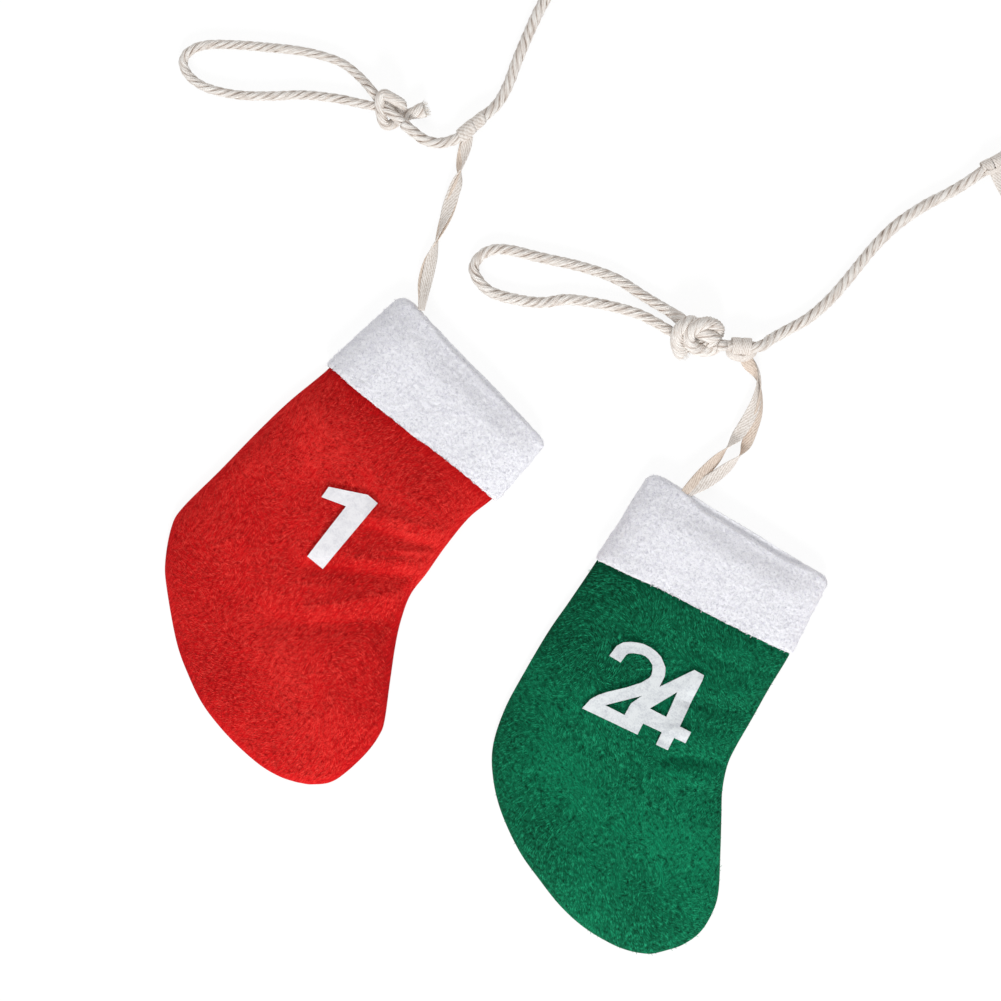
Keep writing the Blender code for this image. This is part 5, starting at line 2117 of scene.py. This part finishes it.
NUMBER_SHARES = {1: (ONE_SHARES,), 24: (LAST_OUTLINE_SHARES, *LAST_HOLE_SHARES)}
# Where a number lies in the stocking's own frame
NUMBER_SPOTS: dict[int, Point] = {1: (32.6 * MM, -61.8 * MM), 24: (19.7 * MM, -55.0 * MM)}
PLAIN_SPOT = (42.0 * MM, -60.0 * MM)


# Studio


@dataclass(frozen=True)
class Lamp:
    """One soft round light: its place from the layout's middle, its diameter and its power."""

    name: str
    place: Triple
    size: float
    power: float


@dataclass(frozen=True)
class Studio:
    """The pale floor, the soft lights and the camera over the layout."""

    middle: Vector
    lens: float = 85.0
    sensor: float = 36.0
    floor_grey: float = 0.92
    floor_size: float = 6.0
    floor_drop: float = 0.2 * MM
    glow: float = 1.05
    glow_share: float = 0.85
    surroundings: float = 0.48
    lamps: tuple[Lamp, ...] = (
        Lamp("key", (0.05, -1.1, 0.78), 0.45, 12.5),
        Lamp("fill", (-0.5, 1.2, 1.6), 1.8, 8.0),
    )

    def camera(self) -> None:
        """Hang the camera straight over the layout's middle."""
        data = bpy.data.cameras.new("camera")
        data.lens = self.lens
        data.sensor_width = self.sensor
        data.sensor_fit = "HORIZONTAL"
        data.clip_start = 0.01
        data.clip_end = 50.0
        camera = bpy.data.objects.new("camera", data)
        width = PHOTO_SIDE * PHOTO_PIXEL
        camera.location = (self.middle.x, self.middle.y, width * self.lens / self.sensor)
        bpy.context.scene.collection.objects.link(camera)
        bpy.context.scene.camera = camera

    def floor(self) -> None:
        """Lay the pale floor."""
        form = bmesh.new()
        bmesh.ops.create_grid(form, x_segments=1, y_segments=1, size=self.floor_size)
        mesh = bpy.data.meshes.new("floor")
        form.to_mesh(mesh)
        form.free()
        shader = Shader("floor_white")
        grey = self.floor_grey
        shader.surface.inputs["Base Color"].default_value = (grey, grey, grey, 1.0)
        shader.surface.inputs["Roughness"].default_value = 1.0
        shader.surface.inputs["Specular IOR Level"].default_value = 0.0
        glow = shader.node("ShaderNodeEmission", Strength=self.glow)
        path = shader.node("ShaderNodeLightPath")
        share = shader.node("ShaderNodeMath", operation="MULTIPLY")
        share.inputs[1].default_value = self.glow_share
        shader.link(path.outputs["Is Camera Ray"], share.inputs[0])
        mix = shader.node("ShaderNodeMixShader")
        shader.link(share.outputs[0], mix.inputs[0])
        shader.link(shader.surface.outputs[0], mix.inputs[1])
        shader.link(glow.outputs[0], mix.inputs[2])
        shader.link(mix.outputs[0], shader.tree.nodes["Material Output"].inputs["Surface"])
        floor = put("floor", mesh, [shader.material])
        floor.location = (self.middle.x, self.middle.y, -self.floor_drop)

    def lights(self) -> None:
        """Set the soft lights and the pale surroundings."""
        for lamp in self.lamps:
            data = bpy.data.lights.new(lamp.name, "AREA")
            data.shape = "DISK"
            data.size = lamp.size
            data.energy = lamp.power
            light = bpy.data.objects.new(lamp.name, data)
            light.location = Vector(lamp.place) + self.middle
            light.rotation_euler = (-Vector(lamp.place)).to_track_quat("-Z", "Y").to_euler()
            bpy.context.scene.collection.objects.link(light)
        world = bpy.data.worlds.new("studio")
        world.use_nodes = True
        tree = world.node_tree
        ground = tree.nodes["Background"]
        ground.inputs["Color"].default_value = WHITE
        ground.inputs["Strength"].default_value = self.surroundings
        seen = tree.nodes.new("ShaderNodeBackground")
        seen.inputs["Strength"].default_value = 1.0
        path = tree.nodes.new("ShaderNodeLightPath")
        mix = tree.nodes.new("ShaderNodeMixShader")
        tree.links.new(path.outputs["Is Camera Ray"], mix.inputs[0])
        tree.links.new(ground.outputs[0], mix.inputs[1])
        tree.links.new(seen.outputs[0], mix.inputs[2])
        tree.links.new(mix.outputs[0], tree.nodes["World Output"].inputs["Surface"])
        bpy.context.scene.world = world
        bpy.context.scene.view_settings.view_transform = "Standard"

    def build(self) -> None:
        """Set up the whole studio."""
        self.camera()
        self.floor()
        self.lights()


@dataclass
class Garland:
    """The whole garland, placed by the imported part's own joints."""

    frame: dict
    palette: Palette
    sizes: RopeSizes = field(default_factory=RopeSizes)
    first_corner: Point = (325, 367)
    first_turn: float = math.radians(-40.0)
    last_corner: Point = (594, 562)
    last_turn: float = math.radians(-25.0)
    corner_aside: float = 17.0 * MM
    corner_away: float = 107.0 * MM
    edge_aside: float = 34.0 * MM

    def __post_init__(self) -> None:
        """Read where each stocking is tied."""
        joints = self.frame["record"]["behaviour"]["joints"]
        self.ties = {int(joint["name"].split("_")[1]): Vector(joint["pos_m"]) for joint in joints}
        bare = Layout(Vector((0.0, 0.0, 0.0))).at(self.sizes.first_tie)
        first = self.ties[FIRST_NUMBER]
        self.layout = Layout(Vector((first.x - bare.x, first.y - bare.y, 0.0)))

    def place(self, number: int) -> tuple[Place, float]:
        """Return how a stocking hangs.

        Args:
            number: the stocking's number.

        Returns:
            Its frame, and the rope's direction at its tie.
        """
        sizes = self.sizes
        if number == FIRST_NUMBER:
            return Place(self.layout.at(self.first_corner), self.first_turn), sizes.first_tie_angle
        if number == LAST_NUMBER:
            return Place(self.layout.at(self.last_corner), self.last_turn), sizes.last_tie_angle
        tie = self.ties[number]
        if number < RETURN_NUMBER:
            corner = Vector((tie.x + self.corner_aside, tie.y + self.corner_away, 0.0))
            return Place(corner, math.pi), 0.0
        at_edge = number == EDGE_NUMBER
        aside = self.edge_aside if at_edge else 0.0
        turn = sizes.side_tie_angle if at_edge else 0.0
        corner = Vector((tie.x + aside - self.corner_aside, tie.y - self.corner_away, 0.0))
        return Place(corner, 0.0), turn

    def build(self) -> None:
        """Build the rope, then each stocking with its tape."""
        Rope(self.layout, self.ties, self.palette, self.sizes).build()
        kinds = ("red", "green", "white")
        fibres = {kind: Scatter(f"scatter_{kind}", self.palette[f"fibres_{kind}"]) for kind in kinds}
        for number in range(FIRST_NUMBER, LAST_NUMBER + 1):
            place, angle = self.place(number)
            detail = Detail.NEAR if number in PHOTOGRAPHED else Detail.FAR
            felt = Felt.RED if number % 2 else Felt.GREEN
            stocking = Stocking(number, felt, place, detail, self.layout, self.palette, fibres)
            stocking.build()
            shows = number in (*PHOTOGRAPHED, EDGE_NUMBER)
            tape_detail = Detail.NEAR if shows else Detail.FAR
            hanger = Hanger(number, self.layout, place, self.ties[number], angle, self.palette, tape_detail)
            tape = hanger.build(stocking.body)
            if number in PHOTOGRAPHED:
                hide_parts(f"hanger_tape_{stocking.tag}")


def main() -> None:
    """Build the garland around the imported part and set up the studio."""
    logging.basicConfig(level=logging.INFO, format="%(name)s: %(message)s")
    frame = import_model()
    garland = Garland(frame, Palette())
    garland.build()
    Studio(garland.layout.at((PHOTO_CENTRE, PHOTO_CENTRE))).build()
    bpy.context.view_layer.update()


if __name__ == "__main__":
    main()
